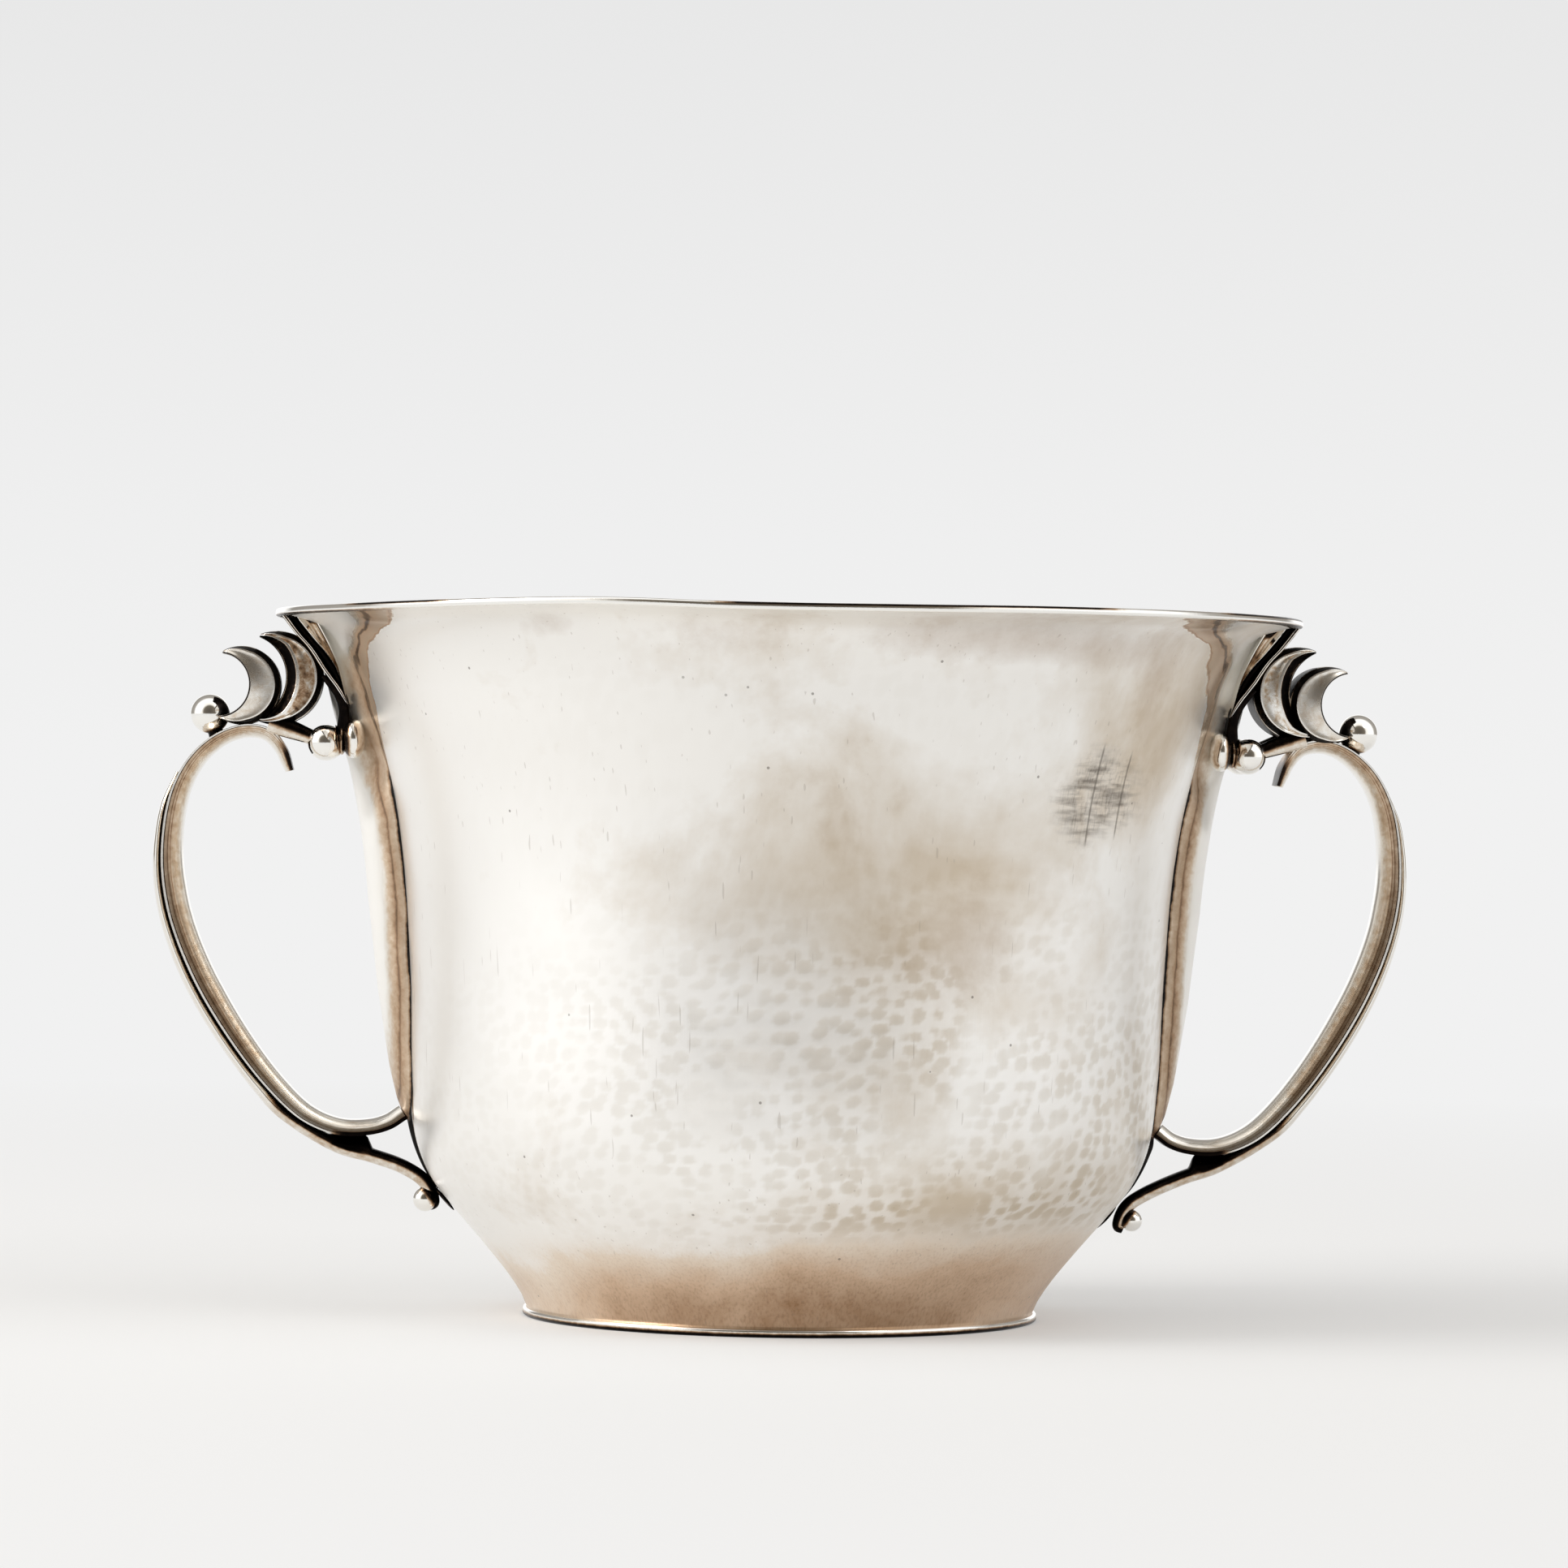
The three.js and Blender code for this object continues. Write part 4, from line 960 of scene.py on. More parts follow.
def build_top_balls():
    """A ball on a short neck that stands on the grip: one profile turned round the neck's axis."""
    radius, lean = settings()[0].ball_radius / MM * 1.08, 0.3
    polar = np.linspace(0.02, np.pi - 0.42, 40)
    ball = np.stack([np.sin(polar), np.cos(polar)], 1) * radius
    neck = [(1.25, -0.98), (1.3, -1.15), (1.9, -1.32), (2.3, -1.5)]
    profile = np.vstack([ball, np.array(neck) * (1, radius)])
    r, up, u = profile[:, :1], profile[:, 1:], circle(56)
    flat = np.stack([r * np.cos(u), r * np.sin(u), up + 0 * u], 2)
    values = {"tarnish_and_shade": eased(-up / radius, 0.72, 0.95)}
    for label, side in SIDES.items():
        grid = tilted(flat, lean, *place(*np.add(TOP_BALL, side["ball"]), side))
        make_piece(f"{label}_top_ball", grid, values, side)


def fitting_centres(side, towards):
    """Middles of the outer ball, the collar and the inner ball of one fitting."""
    x, z = place(*OUTER_BALL, side)
    outer = np.array([x, FITTING_Y * towards, z])
    neck = outer + np.array(TO_COLLAR)
    return outer, neck, neck + np.array(TO_INNER_BALL) * (1, towards, 1)


def build_fittings():
    """The twin pins of each handle: two balls, the ringed collar between them and the strut that
    carries them, all turned or swept about lines in the fitting."""
    radius = settings()[0].ball_radius / MM * 0.99
    step, u = np.linspace(-1, 1, 33)[:, None], circle(48)
    wave = np.cos(step * 3 * np.pi)
    rings = COLLAR_RADIUS - RING_HEIGHT * wave + 0.15 * step**2
    collar = np.stack([step * COLLAR_HALF + 0 * u, rings * np.cos(u), rings * np.sin(u)], 2)
    for label, side in SIDES.items():
        for face, forward in FACES.items():
            towards = forward * side["turn"]
            name = f"{label}_{face}"
            outer, neck, inner = fitting_centres(side, towards)
            grid = ball_grid(radius, outer)
            dark = 0.9 * eased(outer[0] - grid[..., 0], radius * 0.62, radius * 0.9)
            make_piece(f"{name}_outer_ball", grid, {"tarnish_and_shade": dark}, side)
            grid = ball_grid(INNER_BALL, inner, squash=INNER_BALL_SQUASH)
            dark = 0.85 * eased(grid[..., 0] - inner[0], 0.3, 1.2)
            make_piece(f"{name}_inner_ball", grid, {"tarnish_and_shade": dark}, side)
            finish = tarnished_and_shaded_silver("collar_silver", mottle=1.6)
            values = {"tarnish_and_shade": 0.66 + 0.3 * wave}
            make_piece(f"{name}_collar", collar + neck, values, side, finish)
            build_strut(name, side, towards, outer)
            build_post(name, side, towards, neck)
            build_bracket(name, side, towards)


def build_strut(name, side, towards, outer):
    """An oval bar along a straight line from under the crescents to the outer ball."""
    x, z = place(*STRUT_START[:2], side)
    start = np.array([x, STRUT_START[2] * towards, z])
    t = np.linspace(0, 0.8, 24)[:, None]
    middle = start + (outer - start) * t
    u = circle(28)
    high = (STRUT_HIGH - STRUT_LOSS * t) * np.sin(u)
    grid = swept(middle[:, [0, 2]], high, middle[:, 1:2] + STRUT_WIDE * np.cos(u))
    # A little tarnish all over, and painted shade on the upper side, so that the lower side reads as
    # the lit one.
    dark = 0.15 + 0.8 * eased(grid[..., 2] - middle[:, 2:], -0.7, 0.3)
    make_piece(f"{name}_strut", grid, {"tarnish_and_shade": dark}, side)


def bracket_edges(rows):
    """Outer and inner edge of a bracket in the handle's plane, from the lip to the tip."""
    sizes = settings()[0]
    corner = np.array([sizes.mouth_radius, sizes.height]) / MM
    shares = np.linspace(0, 1, rows)
    return [smooth_curve(corner - stations, shares) for stations in (BRACKET_OUTER, BRACKET_INNER)]


def build_bracket(name, side, towards):
    """A fluted leaf: at each share of its length the face runs from the outer to the inner edge,
    with a deep groove that keeps its width and a shallow flute that narrows towards the tip. A
    plain slope runs from its inner edge back to the rib. Its top stops inside the lip's sheet."""
    rows, face_columns = 110, 121
    outer, inner = bracket_edges(rows)
    t = np.linspace(0, 1, rows)[:, None]
    fine = np.linspace(0, 1, face_columns) + 0 * t
    shares, first, last = np.asarray(BRACKET_GROOVE).T
    first, last = np.interp(t, shares, first), np.interp(t, shares, last)
    # The groove lies between these two shares of the face as it is drawn in BRACKET_FACE.
    low, high = 0.165, 0.41
    groove = low + (fine - first) / (last - first) * (high - low)
    beyond = high + (fine - last) / (1 - last) * (1 - high)
    drawn = np.where(fine < first, fine / first * low, np.where(fine < last, groove, beyond))
    front = BRACKET_FRONT - BRACKET_LEAN * t - graded(BRACKET_FACE, drawn) * (1 - 0.5 * t**2)
    one = np.ones_like(t)
    # Behind the face: its slope to the rib in two steps, and the flat back.
    share = np.hstack([fine, one, one, 0 * t])
    depth = np.hstack([front, BRACKET_SLOPE * one, BRACKET_BACK * one, BRACKET_BACK * one])
    slope = np.hstack([0 * fine, 0.35 * (1 - 0.3 * t), 1.1 * (1 - 0.3 * t), 0 * t])
    behind = np.hstack([0 * fine, 0 * t, 0 * t, 0.9 * one])
    # Painted shadow in the flutes at the top of the face, where the lip overhangs it.
    shadow_under_lip = 0.95 * (1 - eased(t, 0.1, 0.18)) * eased(share, 0.52 + t, 0.6 + t)
    shadow_under_lip = shadow_under_lip * (1 - eased(share, 0.89, 0.93))
    x, z = (start[:, None] + (end - start)[:, None] * share for start, end in zip(outer.T, inner.T))
    x = x - slope
    flare = settings()[0].height / MM - np.linspace(30, 0, 300)
    lip = np.interp(np.hypot(x, depth), wall_radius(flare), flare)
    z = np.minimum(z, lip + lip_rise(np.pi / 2 * side["turn"], lip) + 0.3)
    grid = np.stack([x, depth * towards, z], 2)
    across = np.hstack([drawn, share[:, face_columns:]])
    values = {"across": across, "tarnish_and_shade": shadow_under_lip + behind, "worn": 0.1}
    finish = tarnished_and_shaded_silver("bracket_silver", BRACKET_LINES)
    make_piece(f"{name}_bracket", grid, values, side, finish, sharp=50)


def build_post(name, side, towards, neck):
    """The post and its web: a rounded bar that leaves the collar, bends at the bracket's tip and
    runs up under the bracket's outer edge."""
    outer = bracket_edges(40)[0]
    tip, above = outer[-1], outer[27]
    start = neck[[0, 2]] + (0.15, 1.6)
    stations = [start, tip + (0.3, -1.2), tip + (0.9, 1.0), above + (0.5, -0.3)]
    shares = np.linspace(0, 1, 40)
    path = smooth_curve(stations, shares)
    half = graded([(0, 1.3), (0.3, 0.95), (0.55, 1.0), (1, 0.35)], shares)[:, None]
    deep = graded([(0, 1.2), (0.5, 1.5), (1, 1.9)], shares)[:, None]
    u = circle(28)
    box = (np.abs(np.cos(u)) ** 4 + np.abs(np.sin(u)) ** 4) ** -0.25
    grid = swept(path, half * np.sin(u) * box, FITTING_Y * towards + deep * np.cos(u) * box)
    make_piece(f"{name}_post", grid, {"tarnish_and_shade": 0.97}, side, sharp=60)


# Finishes.

# Real sizes of the patterns' features, in millimetres: the clouds of tarnish and the speckle in
# them, the patches where the marks show, their ragged edges, the sway and ragged edge of a crease,
# the blotches and speckle of the trim, and the spacing of the pits.
CLOUD, SPECKLE, MARK_PATCH, MARK_EDGE = 29.41, 6.667, 16.67, 2.0
CREASE_SWAY, CREASE_EDGE, TRIM_BLOTCH, TRIM_SPECKLE, PIT_SPACING = 8.333, 1.111, 4.762, 1.111, 3.333
# Polishing grain, brush lines, scratches and scuffs, drawn out along one axis. On the real bowl
# they are finer: they are drawn as coarse as they need to show.
GRAIN = 0.3846
BRUSH_LINE = (0.3846, 0.3846, 11.11)
SCRATCH = (0.5263, 0.5263, 10.526)
SCUFF_LINE = (5.882, 5.882, 1.0)
# Turns of the three runs of scratches, in radians.
SCRATCH_TURNS = (0.35, -0.5, 1.2)

# Silver from bright metal to black oxide, by strength of the tarnish; the same colours also draw
# the painted shade on some trim.
OXIDE_AND_SHADE = [
    (0.0, "#F8F6F1"), (0.14, "#E9E2D7"), (0.3, "#C9B49C"), (0.45, "#A5876B"), (0.62, "#66503E"),
    (0.82, "#241C17"), (1.0, "#110E0D"),
]
# Tarnish across a crease's stain, from the handle's side to the bowl's: near the lip, and low.
UPPER_CREASE = [
    (0.26, 0.0), (0.32, 0.1), (0.4, 0.34), (0.46, 0.42), (0.485, 0.68), (0.51, 0.66), (0.54, 0.4),
    (0.7, 0.34), (0.735, 0.5), (0.76, 0.0),
]
LOWER_CREASE = [
    (0.2, 0.0), (0.26, 0.26), (0.33, 0.42), (0.355, 0.58), (0.375, 0.4), (0.45, 0.3), (0.475, 0.5),
    (0.487, 0.97), (0.52, 0.97), (0.55, 0.5), (0.6, 0.1), (0.64, 0.0),
]


def add(tree, kind, *inputs, output=0, stops=(), **named):
    """Adds a shader node and returns one of its outputs. Inputs come in the order of its sockets,
    or by name where the name has a capital: an output is linked, and a number, a vector or a hex
    colour is set. Other names are the node's settings, and stops are those of a ramp."""
    node = tree.nodes.new("ShaderNode" + kind)
    for name in filter(str.islower, named):
        setattr(node, name, named[name])
    wired = list(zip((socket for socket in node.inputs if socket.enabled), inputs))
    for name in named:
        if not name.islower():
            wired.append((node.inputs[name.replace("_", " ")], named[name]))
    for socket, value in wired:
        if isinstance(value, bpy.types.NodeSocket):
            tree.links.new(value, socket)
        else:
            socket.default_value = linear(value) if isinstance(value, str) else value
    if stops:
        elements = node.color_ramp.elements
        while len(elements) < len(stops):
            elements.new(0.5)
        for element, (position, value) in zip(elements, stops):
            element.position = position
            element.color = linear(value) if isinstance(value, str) else (value, value, value, 1.0)
    if isinstance(output, str):
        return node.outputs[output]
    return next((socket for socket in node.outputs if socket.enabled), None)


def per_metre(*sizes):
    """Scale of a pattern on Object coordinates, in metres, from its sizes in millimetres."""
    scales = tuple(1000 / size for size in sizes)
    return scales if len(scales) > 1 else scales[0]


def uneven(tree, base, *parts):
    """A value made uneven by patterns: base plus, for each pattern and its strength, the pattern
    less its middle value, a half, times the strength."""
    for pattern, strength in parts:
        base = add(tree, "Math", pattern, strength, base, operation="MULTIPLY_ADD")
    middle = sum(strength for _, strength in parts) / 2
    return add(tree, "Math", base, middle, operation="SUBTRACT")


def streaks(tree, position, sizes, turn=(0.0, 0.0, 0.0), detail=2.0):
    """Noise drawn out along one axis: brush lines, scratches or scuffs of the given sizes."""
    drawn = add(tree, "Mapping", position, Rotation=turn, Scale=per_metre(*sizes))
    return add(tree, "TexNoise", drawn, 1.0, detail, 0.5)


def open_material(name):
    """A material with an empty tree, and the place on the piece in metres."""
    material = bpy.data.materials.new(name)
    material.use_nodes = True
    tree = material.node_tree
    tree.nodes.clear()
    return material, tree, add(tree, "TexCoord", output="Object")


def finish_metal(tree, colour, roughness, bump, crust=None):
    """Closes a material. crust is 1 where a dull film of oxide hides the metal, and 0 where it is
    bare: a film neither reflects as metal does nor shines."""
    if crust is None:
        surface = add(tree, "BsdfPrincipled", colour, 1.0, roughness, Normal=bump)
    else:
        bare = add(tree, "Math", 1.0, crust, operation="SUBTRACT")
        surface = add(
            tree, "BsdfPrincipled", colour, bare, roughness, Normal=bump, Specular_IOR_Level=bare
        )
    add(tree, "OutputMaterial", surface)


def crease_stain(tree, position):
    """Tarnish in the crease beside a rib: a tan band with a dark wandering line along it. Low on
    the bowl the line is black and the band lies on the rib only."""
    low = add(tree, "Attribute", output="Fac", attribute_name="low")
    crease = add(tree, "Attribute", output="Fac", attribute_name="crease")
    sway = add(tree, "TexNoise", position, per_metre(CREASE_SWAY), 3.0, 0.5)
    sway = uneven(tree, 0.0, (sway, 0.8))
    # It sways less further down.
    less = add(tree, "Math", 1.4, low, operation="SUBTRACT")
    across = add(tree, "Math", sway, less, crease, operation="MULTIPLY_ADD")
    edge = add(tree, "TexNoise", position, per_metre(CREASE_EDGE), 2.0, 0.55)
    place_across = add(tree, "MapRange", uneven(tree, across, (edge, 0.1)), -2.0, 2.0)
    upper, lower = (
        add(tree, "ValToRGB", place_across, stops=stops) for stops in (UPPER_CREASE, LOWER_CREASE)
    )
    return add(tree, "Mix", low, upper, lower)


def hammered_silver():
    """Sterling silver, raised, planished and left satin: soft broad highlights, painted highlights
    on the ridges between the hammer marks and painted shade in them, clouds of grey and tan tarnish,
    and a brushed tan skirt."""
    finish = settings()[1]
    material, tree, position = open_material("planished_satin_silver")
    mesh = {
        key: add(tree, "Attribute", output="Fac", attribute_name=key)
        for key in ("mark", "zone", "crease", "grey", "tan", "scuff", "bloom", "drip")
    }
    broad = add(tree, "TexNoise", position, per_metre(CLOUD), 5.0, 0.6, Distortion=0.5)
    small = add(tree, "TexNoise", position, per_metre(SPECKLE), 5.0, 0.65)
    grain = add(tree, "TexNoise", position, per_metre(GRAIN), 2.0, 0.55)
    patchy = add(tree, "TexNoise", position, per_metre(MARK_PATCH), 2.0, 0.55)
    ragged = add(tree, "TexNoise", position, per_metre(MARK_EDGE), 2.0, 0.55)
    brushed = streaks(tree, position, BRUSH_LINE)
    scuffed = streaks(tree, position, SCUFF_LINE, detail=4.0)
    # What covers the clean metal, in the order it lies in: where, how strongly, and its colour.
    grey = uneven(tree, mesh["grey"], (broad, 1.6), (small, 0.4))
    tan = uneven(tree, mesh["tan"], (small, 0.6), (broad, 0.6))
    coats = [
        (add(tree, "MapRange", grey, 0.3, 1.05), 1.0, finish.grey),
        (add(tree, "MapRange", tan, 0.28, 0.95), 0.6, finish.tan),
    ]
    # Hammer marks: painted shade in their middles, and painted highlights on the ridges between
    # them.
    mark = uneven(tree, mesh["mark"], (ragged, 0.16))
    spot = add(tree, "ValToRGB", mark, stops=[(0.0, 0.0), (0.1, 0.1), (0.4, 0.8), (0.7, 1.0)])
    shown = add(tree, "MapRange", patchy, 0.3, 0.55)
    zone = add(tree, "Math", mesh["zone"], shown, operation="MULTIPLY")
    dark = add(tree, "Math", zone, spot, operation="MULTIPLY")
    painted_ridge_highlight = add(tree, "Math", zone, dark, operation="SUBTRACT")
    coats += [(painted_ridge_highlight, 0.55, "#FCFBF9"), (dark, 0.21, "#B3A68F")]
    # The brushed tan skirt, with a ragged upper edge.
    edge = uneven(tree, 0.0, (broad, 1.1), (small, 0.3), (brushed, 0.12))
    inside = add(tree, "MapRange", mesh["bloom"], 0.0, 0.3)
    bloom = add(tree, "Math", edge, inside, mesh["bloom"], operation="MULTIPLY_ADD")
    bloom = add(tree, "MapRange", bloom, 0.0, 1.02)
    warm = add(
        tree, "ValToRGB", bloom,
        stops=[(0.0, "#F3EEE7"), (0.3, "#EADCCB"), (0.65, "#D6BBA0"), (1.0, "#A58261")],
    )
    lines = uneven(tree, 0.0, (brushed, 1.1))
    lines = add(tree, "Math", lines, bloom, operation="MULTIPLY", use_clamp=True)
    coats += [(add(tree, "MapRange", bloom, 0.0, 0.25), 1.0, warm), (lines, 1.0, "#6B4F3C")]
    for turn in SCRATCH_TURNS:
        scratch = streaks(tree, position, SCRATCH, (0.0, turn, 0.3), 0.0)
        coats.append((add(tree, "MapRange", scratch, 0.83, 0.86), 0.25, "#8C7C6C"))
    # The scuffed patch and the two strokes across it.
    broken = add(tree, "MapRange", broad, 0.25, 0.5)
    worn = add(tree, "Math", mesh["scuff"], broken, operation="MULTIPLY")
    worn = add(tree, "MapRange", uneven(tree, worn, (small, 0.8)), 0.25, 0.85)
    rub = add(
        tree, "Math", add(tree, "MapRange", brushed, 0.5, 0.7, 0.0, 0.35),
        add(tree, "MapRange", scuffed, 0.4, 0.72), operation="ADD", use_clamp=True,
    )
    coats.append((add(tree, "Math", worn, rub, operation="MULTIPLY"), 0.75, "#5A5148"))
    patch = add(tree, "MapRange", mesh["scuff"], 0.3, 0.45)
    for turn in map(math.radians, SCUFF_STROKES):
        aside = (math.cos(turn), math.sin(turn), 0.0)
        aside = add(tree, "VectorMath", position, aside, operation="DOT_PRODUCT")
        aside = add(tree, "Math", aside, operation="ABSOLUTE")
        thin = add(tree, "MapRange", aside, 0.3 * MM, 0.1 * MM)
        coats.append((add(tree, "Math", thin, patch, operation="MULTIPLY"), 0.6, "#5B5248"))
    # Pits: a tenth of the cells of a cellular pattern has one, 7 % of the spacing in radius.
    near = add(tree, "TexVoronoi", position, per_metre(PIT_SPACING), output="Distance")
    chosen = add(tree, "SeparateColor", near.node.outputs["Color"])
    chosen = add(tree, "MapRange", chosen, 0.9, 0.92)
    pit = add(tree, "Math", near, 0.07, operation="LESS_THAN")
    coats.append((add(tree, "Math", chosen, pit, operation="MULTIPLY"), 0.6, "#54473C"))
    # Oxide in the creases and below the ribs.
    drip = add(tree, "MapRange", uneven(tree, mesh["drip"], (small, 0.3)), 0.4, 0.6)
    stain = add(tree, "Math", crease_stain(tree, position), drip, operation="MAXIMUM")
    stain_and_shade = add(tree, "MapRange", stain, 0.0, 0.2)
    coats.append((stain_and_shade, 1.0, add(tree, "ValToRGB", stain, stops=OXIDE_AND_SHADE)))
    colour = finish.clean
    for cover, strength, shade in coats:
        cover = add(tree, "Math", cover, strength, operation="MULTIPLY")
        colour = add(tree, "Mix", cover, colour, shade, data_type="RGBA")
    rough = add(tree, "Math", stain_and_shade, -0.12, finish.wall_roughness, operation="MULTIPLY_ADD")
    rough = uneven(tree, rough, (broad, 0.03), (grain, 0.03))
    texture = add(tree, "Math", grain, 0.15, brushed, operation="MULTIPLY_ADD")
    bump = add(tree, "Bump", 0.06, 0.2 * MM, Height=texture)
    film = add(tree, "MapRange", stain, 0.2, 0.4, 0.22, 0.75)
    side_film = add(tree, "MapRange", mesh["crease"], -0.6, -1.6, 0.0, 0.7)
    film = add(tree, "Math", film, side_film, operation="MAXIMUM")
    finish_metal(tree, colour, rough, bump, add(tree, "Math", drip, film, operation="MAXIMUM"))
    return material


def tarnished_and_shaded_silver(name, lines=None, creased=False, mottle=1.0, satin=0.0):
    """Sterling silver, polished on its high places and left black with oxide in its recesses:
    mirror highlights next to tan, brown and black. Where the tarnish lies comes from the mesh, and
    lines, if given, adds thin ones across the piece. On some pieces the mesh also gives painted
    shade and painted shadow, drawn in the oxide's colours. Where it is worn, the pale ones are gone."""
    if name in bpy.data.materials:
        return bpy.data.materials[name]
    finish = settings()[1]
    material, tree, position = open_material(name)
    fine = add(tree, "TexNoise", position, per_metre(TRIM_SPECKLE), 5.0, 0.62, Distortion=0.3)
    broad = add(tree, "TexNoise", position, per_metre(TRIM_BLOTCH), 4.0, 0.6)
    tarnish_and_shade = add(tree, "Attribute", output="Fac", attribute_name="tarnish_and_shade")
    if lines:
        across = add(tree, "Attribute", output="Fac", attribute_name="across")
        worn = add(tree, "Attribute", output="Fac", attribute_name="worn")
        drawn = add(tree, "ValToRGB", uneven(tree, across, (broad, 0.03)), stops=lines)
        # What is left of a line after wear: all of a black one, and little of a pale one.
        pale = add(tree, "Math", 1.0, drawn, operation="SUBTRACT")
        gone = add(tree, "Math", worn, pale, operation="MULTIPLY")
        left = add(tree, "Math", 1.0, gone, operation="SUBTRACT")
        drawn = add(tree, "Math", drawn, left, operation="MULTIPLY")
        tarnish_and_shade = add(tree, "Math", tarnish_and_shade, drawn, operation="MAXIMUM")
    if creased:
        tarnish_and_shade = add(tree, "Math", tarnish_and_shade, crease_stain(tree, position), operation="MAXIMUM")
    blotches = uneven(tree, 0.0, (fine, 0.5 * mottle), (broad, 0.35 * mottle))
    covered = add(tree, "MapRange", tarnish_and_shade, 0.02, 0.2)
    stain_and_shade = add(
        tree, "Math", blotches, covered, tarnish_and_shade, operation="MULTIPLY_ADD", use_clamp=True
    )
    colour = add(tree, "ValToRGB", stain_and_shade, stops=OXIDE_AND_SHADE)
    polish = finish.trim_roughness + satin
    rough = add(tree, "Math", stain_and_shade, 0.2, polish, operation="MULTIPLY_ADD")
    rough = uneven(tree, rough, (broad, 0.08))
    bump = add(tree, "Bump", 0.08, 0.1 * MM, Height=fine)
    crust = None
    if creased:
        film = add(tree, "MapRange", stain_and_shade, 0.2, 0.4, 0.3, 0.75)
        crease = add(tree, "Attribute", output="Fac", attribute_name="crease")
        side_film = add(tree, "MapRange", crease, -0.6, -1.6, 0.0, 0.6)
        crust = add(tree, "Math", film, side_film, operation="MAXIMUM")
    finish_metal(tree, colour, rough, bump, crust)
    return material



# The studio.

# Name, place and size in metres, and power in watts. They look at the middle of the bowl.
LAMPS = [
    ("soft_lamp_left", (-1.4, -0.4, 0.85), 0.9, 15.0),
    ("soft_lamp_right", (0.9, -0.9, 1.3), 0.5, 1.5),
]
LAMP_TARGET = (0, 0, 0.06)


def build_camera():
    """The camera stands level in front of the bowl, a little round to the left handle's side, and
    leans over by the roll."""
    studio = settings()[2]
    data = bpy.data.cameras.new("photograph_camera")
    data.lens = studio.focal
    data.sensor_width = 36.0
    data.shift_x, data.shift_y = (shift / PHOTO_WIDTH for shift in PHOTO_SHIFT)
    data.clip_end = 100.0
    camera = bpy.data.objects.new("photograph_camera", data)
    s, c = math.sin(studio.turn), math.cos(studio.turn)
    forward, right, up = Vector((s, c, 0)), Vector((c, -s, 0)), Vector((0, 0, 1))
    lean_right = right * math.cos(studio.roll) + up * math.sin(studio.roll)
    lean_up = up * math.cos(studio.roll) - right * math.sin(studio.roll)
    matrix = Matrix((lean_right, lean_up, -forward)).transposed().to_4x4()
    matrix.translation = -studio.distance * forward + studio.camera_height * up
    camera.matrix_world = matrix
    bpy.context.scene.collection.objects.link(camera)
    bpy.context.scene.camera = camera


def build_floor():
    """A wide disc, pale and matt. Far from the bowl it fades to the background's own colour."""
    angle = circle(96)[:, None]
    radius = np.array([20.0, 400.0, 1000.0, 3000.0, 9000.0, 9000.0, 20.0])
    z = np.array([0.0, 0.0, 0.0, 0.0, 0.0, -20.0, -20.0])
    grid = np.stack([radius * np.cos(angle), radius * np.sin(angle), z + 0 * angle], 2)
    floor = skin("floor", grid, closed_rows=True)
    material, tree, position = open_material("pale_matt_floor")
    far = add(tree, "VectorMath", position, operation="LENGTH")
    matt = add(tree, "BsdfDiffuse", "#EBEAE8")
    glow = add(tree, "Emission", "#F1F1F1", 1.0)
    rays = add(tree, "LightPath").node.outputs
    seen = add(
        tree, "Math", rays["Is Camera Ray"], rays["Is Glossy Ray"], operation="ADD", use_clamp=True
    )
    fade = add(tree, "Math", add(tree, "MapRange", far, -0.35, 0.8), seen, operation="MULTIPLY")
    add(tree, "OutputMaterial", add(tree, "MixShader", fade, matt, glow))
    floor.data.materials.append(material)


def build_world():
    """White all round, but for a dim warm room behind the camera and the dim studio to either side
    of the backdrop, which polished silver picks up."""
    world = bpy.data.worlds.new("studio")
    bpy.context.scene.world = world
    world.use_nodes = True
    tree = world.node_tree
    tree.nodes.clear()
    turn, lift = settings()[2].turn, math.radians(12)
    way = add(tree, "TexCoord", output="Generated")
    level = Vector((-math.sin(turn), -math.cos(turn), 0.0))
    behind = level * math.cos(lift) + Vector((0.0, 0.0, math.sin(lift)))
    dot = add(tree, "VectorMath", way, behind, operation="DOT_PRODUCT")
    room = add(
        tree, "ValToRGB", add(tree, "MapRange", dot, 0.5, 1.0),
        stops=[(0.0, "#FFFFFF"), (0.42, "#F3F0EB"), (0.64, "#6E675C"), (1.0, "#57514A")],
    )
    dot = add(tree, "VectorMath", way, level, operation="DOT_PRODUCT")
    dim = [(0.1, "#FFFFFF"), (0.16, "#8E8A85"), (0.7, "#A09C97"), (0.88, "#FFFFFF")]
    edges = add(
        tree, "ValToRGB", add(tree, "MapRange", dot, -1.0, 0.0), stops=[(0.0, "#FFFFFF"), *dim]
    )
    around = add(tree, "Mix", 1.0, room, edges, data_type="RGBA", blend_type="MULTIPLY")
    high = add(tree, "MapRange", add(tree, "SeparateXYZ", way, output="Z"), 0.0, 0.12)
    backdrop = add(
        tree, "ValToRGB", high, stops=[(0.0, "#F1F1F1"), (0.3, "#EFEFEF"), (1.0, "#E8E8E8")]
    )
    camera = add(tree, "LightPath", output="Is Camera Ray")
    colour = add(tree, "Mix", camera, around, backdrop, data_type="RGBA")
    # The backdrop is seen at a strength of 1, and the light is a little stronger.
    strength = add(tree, "Math", camera, -0.16, 1.16, operation="MULTIPLY_ADD")
    add(tree, "OutputWorld", add(tree, "Background", colour, strength))


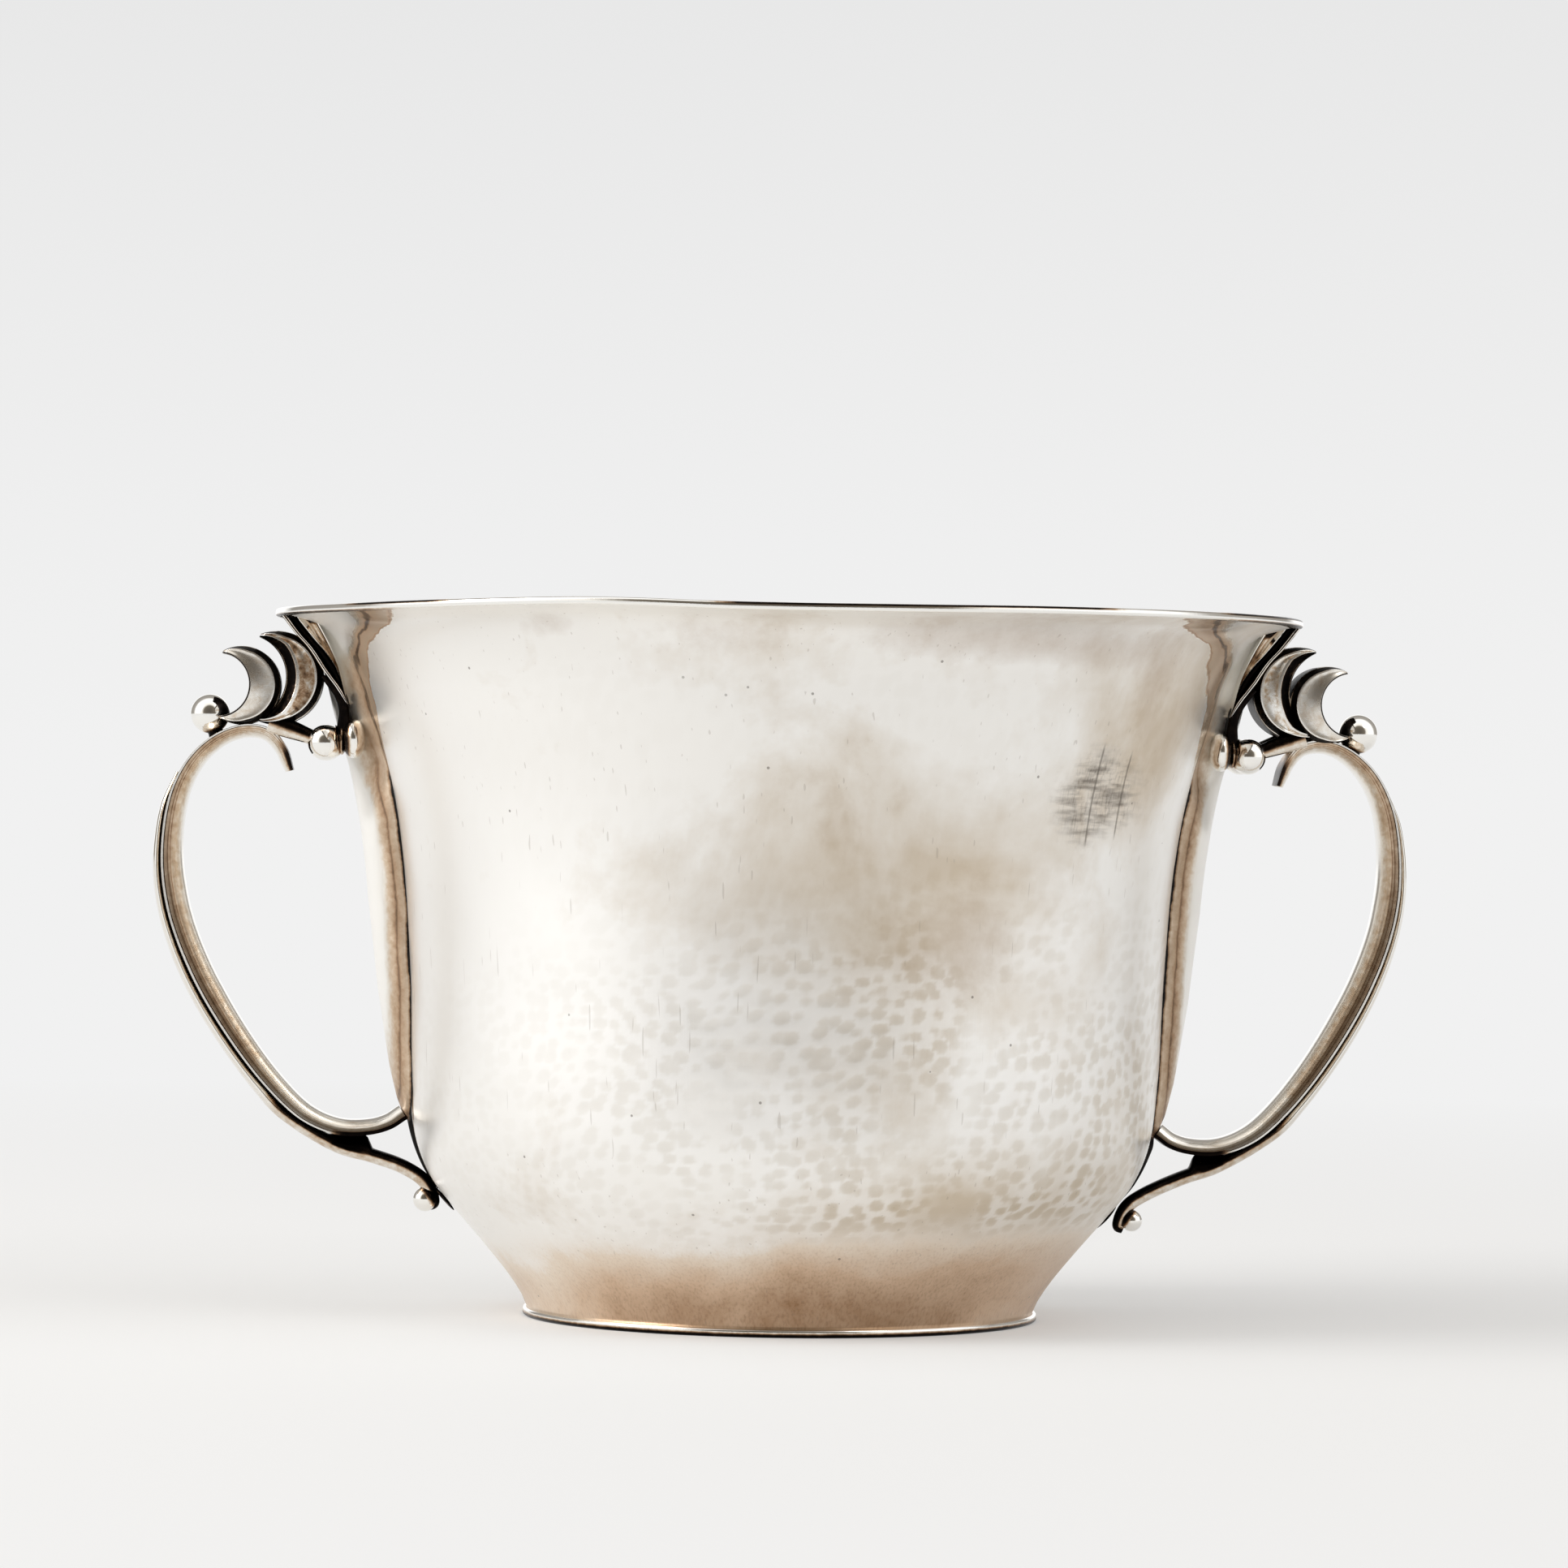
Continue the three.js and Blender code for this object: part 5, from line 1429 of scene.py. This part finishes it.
def build_lamps():
    """A large soft lamp from the left, and a weaker one from the front right."""
    for name, position, size, power in LAMPS:
        data = bpy.data.lights.new(name, "AREA")
        data.size = size
        data.energy = power
        lamp = bpy.data.objects.new(name, data)
        lamp.location = position
        aim = Vector(LAMP_TARGET) - lamp.location
        lamp.rotation_euler = aim.to_track_quat("-Z", "Y").to_euler()
        bpy.context.scene.collection.objects.link(lamp)


# Operators, panel and registration.


class BowlOperator(bpy.types.Operator):
    """Builds one group of pieces"""

    bl_options = {"REGISTER", "UNDO"}


class OBJECT_OT_bowl_vessel(BowlOperator):
    """Builds the hammered wall of the bowl"""

    bl_idname = "object.bowl_vessel"
    bl_label = "Vessel"

    def execute(self, context):
        build_bowl_body()
        return {"FINISHED"}


class OBJECT_OT_bowl_rings(BowlOperator):
    """Builds the rim wire and the foot ring"""

    bl_idname = "object.bowl_rings"
    bl_label = "Rim wire and foot ring"

    def execute(self, context):
        build_rim_and_foot()
        return {"FINISHED"}


class OBJECT_OT_bowl_ribs(BowlOperator):
    """Builds the ribs that carry the handles"""

    bl_idname = "object.bowl_ribs"
    bl_label = "Side ribs"

    def execute(self, context):
        build_side_ribs()
        return {"FINISHED"}


class OBJECT_OT_bowl_grips(BowlOperator):
    """Builds the grips, the spines, their beads and pads"""

    bl_idname = "object.bowl_grips"
    bl_label = "Grips and spines"

    def execute(self, context):
        build_straps()
        build_spines()
        build_beads_and_pads()
        return {"FINISHED"}


class OBJECT_OT_bowl_crescents(BowlOperator):
    """Builds the crescents and the balls beside them"""

    bl_idname = "object.bowl_crescents"
    bl_label = "Crescents and top balls"

    def execute(self, context):
        build_crescents()
        build_top_balls()
        return {"FINISHED"}


class OBJECT_OT_bowl_fittings(BowlOperator):
    """Builds the pins, posts and brackets under the lip"""

    bl_idname = "object.bowl_fittings"
    bl_label = "Fittings"

    def execute(self, context):
        build_fittings()
        return {"FINISHED"}


class OBJECT_OT_bowl_studio(BowlOperator):
    """Builds the camera, the floor, the lamps and the world"""

    bl_idname = "object.bowl_studio"
    bl_label = "Studio"

    def execute(self, context):
        build_camera()
        build_floor()
        build_world()
        build_lamps()
        context.scene.view_settings.view_transform = "Standard"
        return {"FINISHED"}


OPERATORS = (
    OBJECT_OT_bowl_studio,
    OBJECT_OT_bowl_vessel,
    OBJECT_OT_bowl_rings,
    OBJECT_OT_bowl_ribs,
    OBJECT_OT_bowl_grips,
    OBJECT_OT_bowl_crescents,
    OBJECT_OT_bowl_fittings,
)


class VIEW3D_PT_silver_bowl(bpy.types.Panel):
    """Lists the bowl's pieces and its settings"""

    bl_label = "Silver bowl"
    bl_space_type = "VIEW_3D"
    bl_region_type = "UI"
    bl_category = "Silver bowl"

    def draw(self, context):
        for operator in OPERATORS:
            self.layout.operator(operator.bl_idname)
        for group in settings():
            for key in group.bl_rna.properties.keys():
                if key not in {"rna_type", "name"}:
                    self.layout.prop(group, key)


GROUPS = {"bowl_sizes": BowlSizes, "bowl_finish": BowlFinish, "bowl_studio": StudioSettings}


def register():
    """Registers the classes and puts the settings on the scene."""
    for cls in (*GROUPS.values(), *OPERATORS, VIEW3D_PT_silver_bowl):
        bpy.utils.register_class(cls)
    for key, cls in GROUPS.items():
        setattr(bpy.types.Scene, key, PointerProperty(type=cls))


def unregister():
    """Takes away what register added."""
    for key in GROUPS:
        delattr(bpy.types.Scene, key)
    for cls in (VIEW3D_PT_silver_bowl, *reversed(OPERATORS), *GROUPS.values()):
        bpy.utils.unregister_class(cls)


def main():
    """Registers the add-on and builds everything."""
    register()
    for operator in OPERATORS:
        group, name = operator.bl_idname.split(".")
        getattr(getattr(bpy.ops, group), name)()


if __name__ == "__main__":
    main()
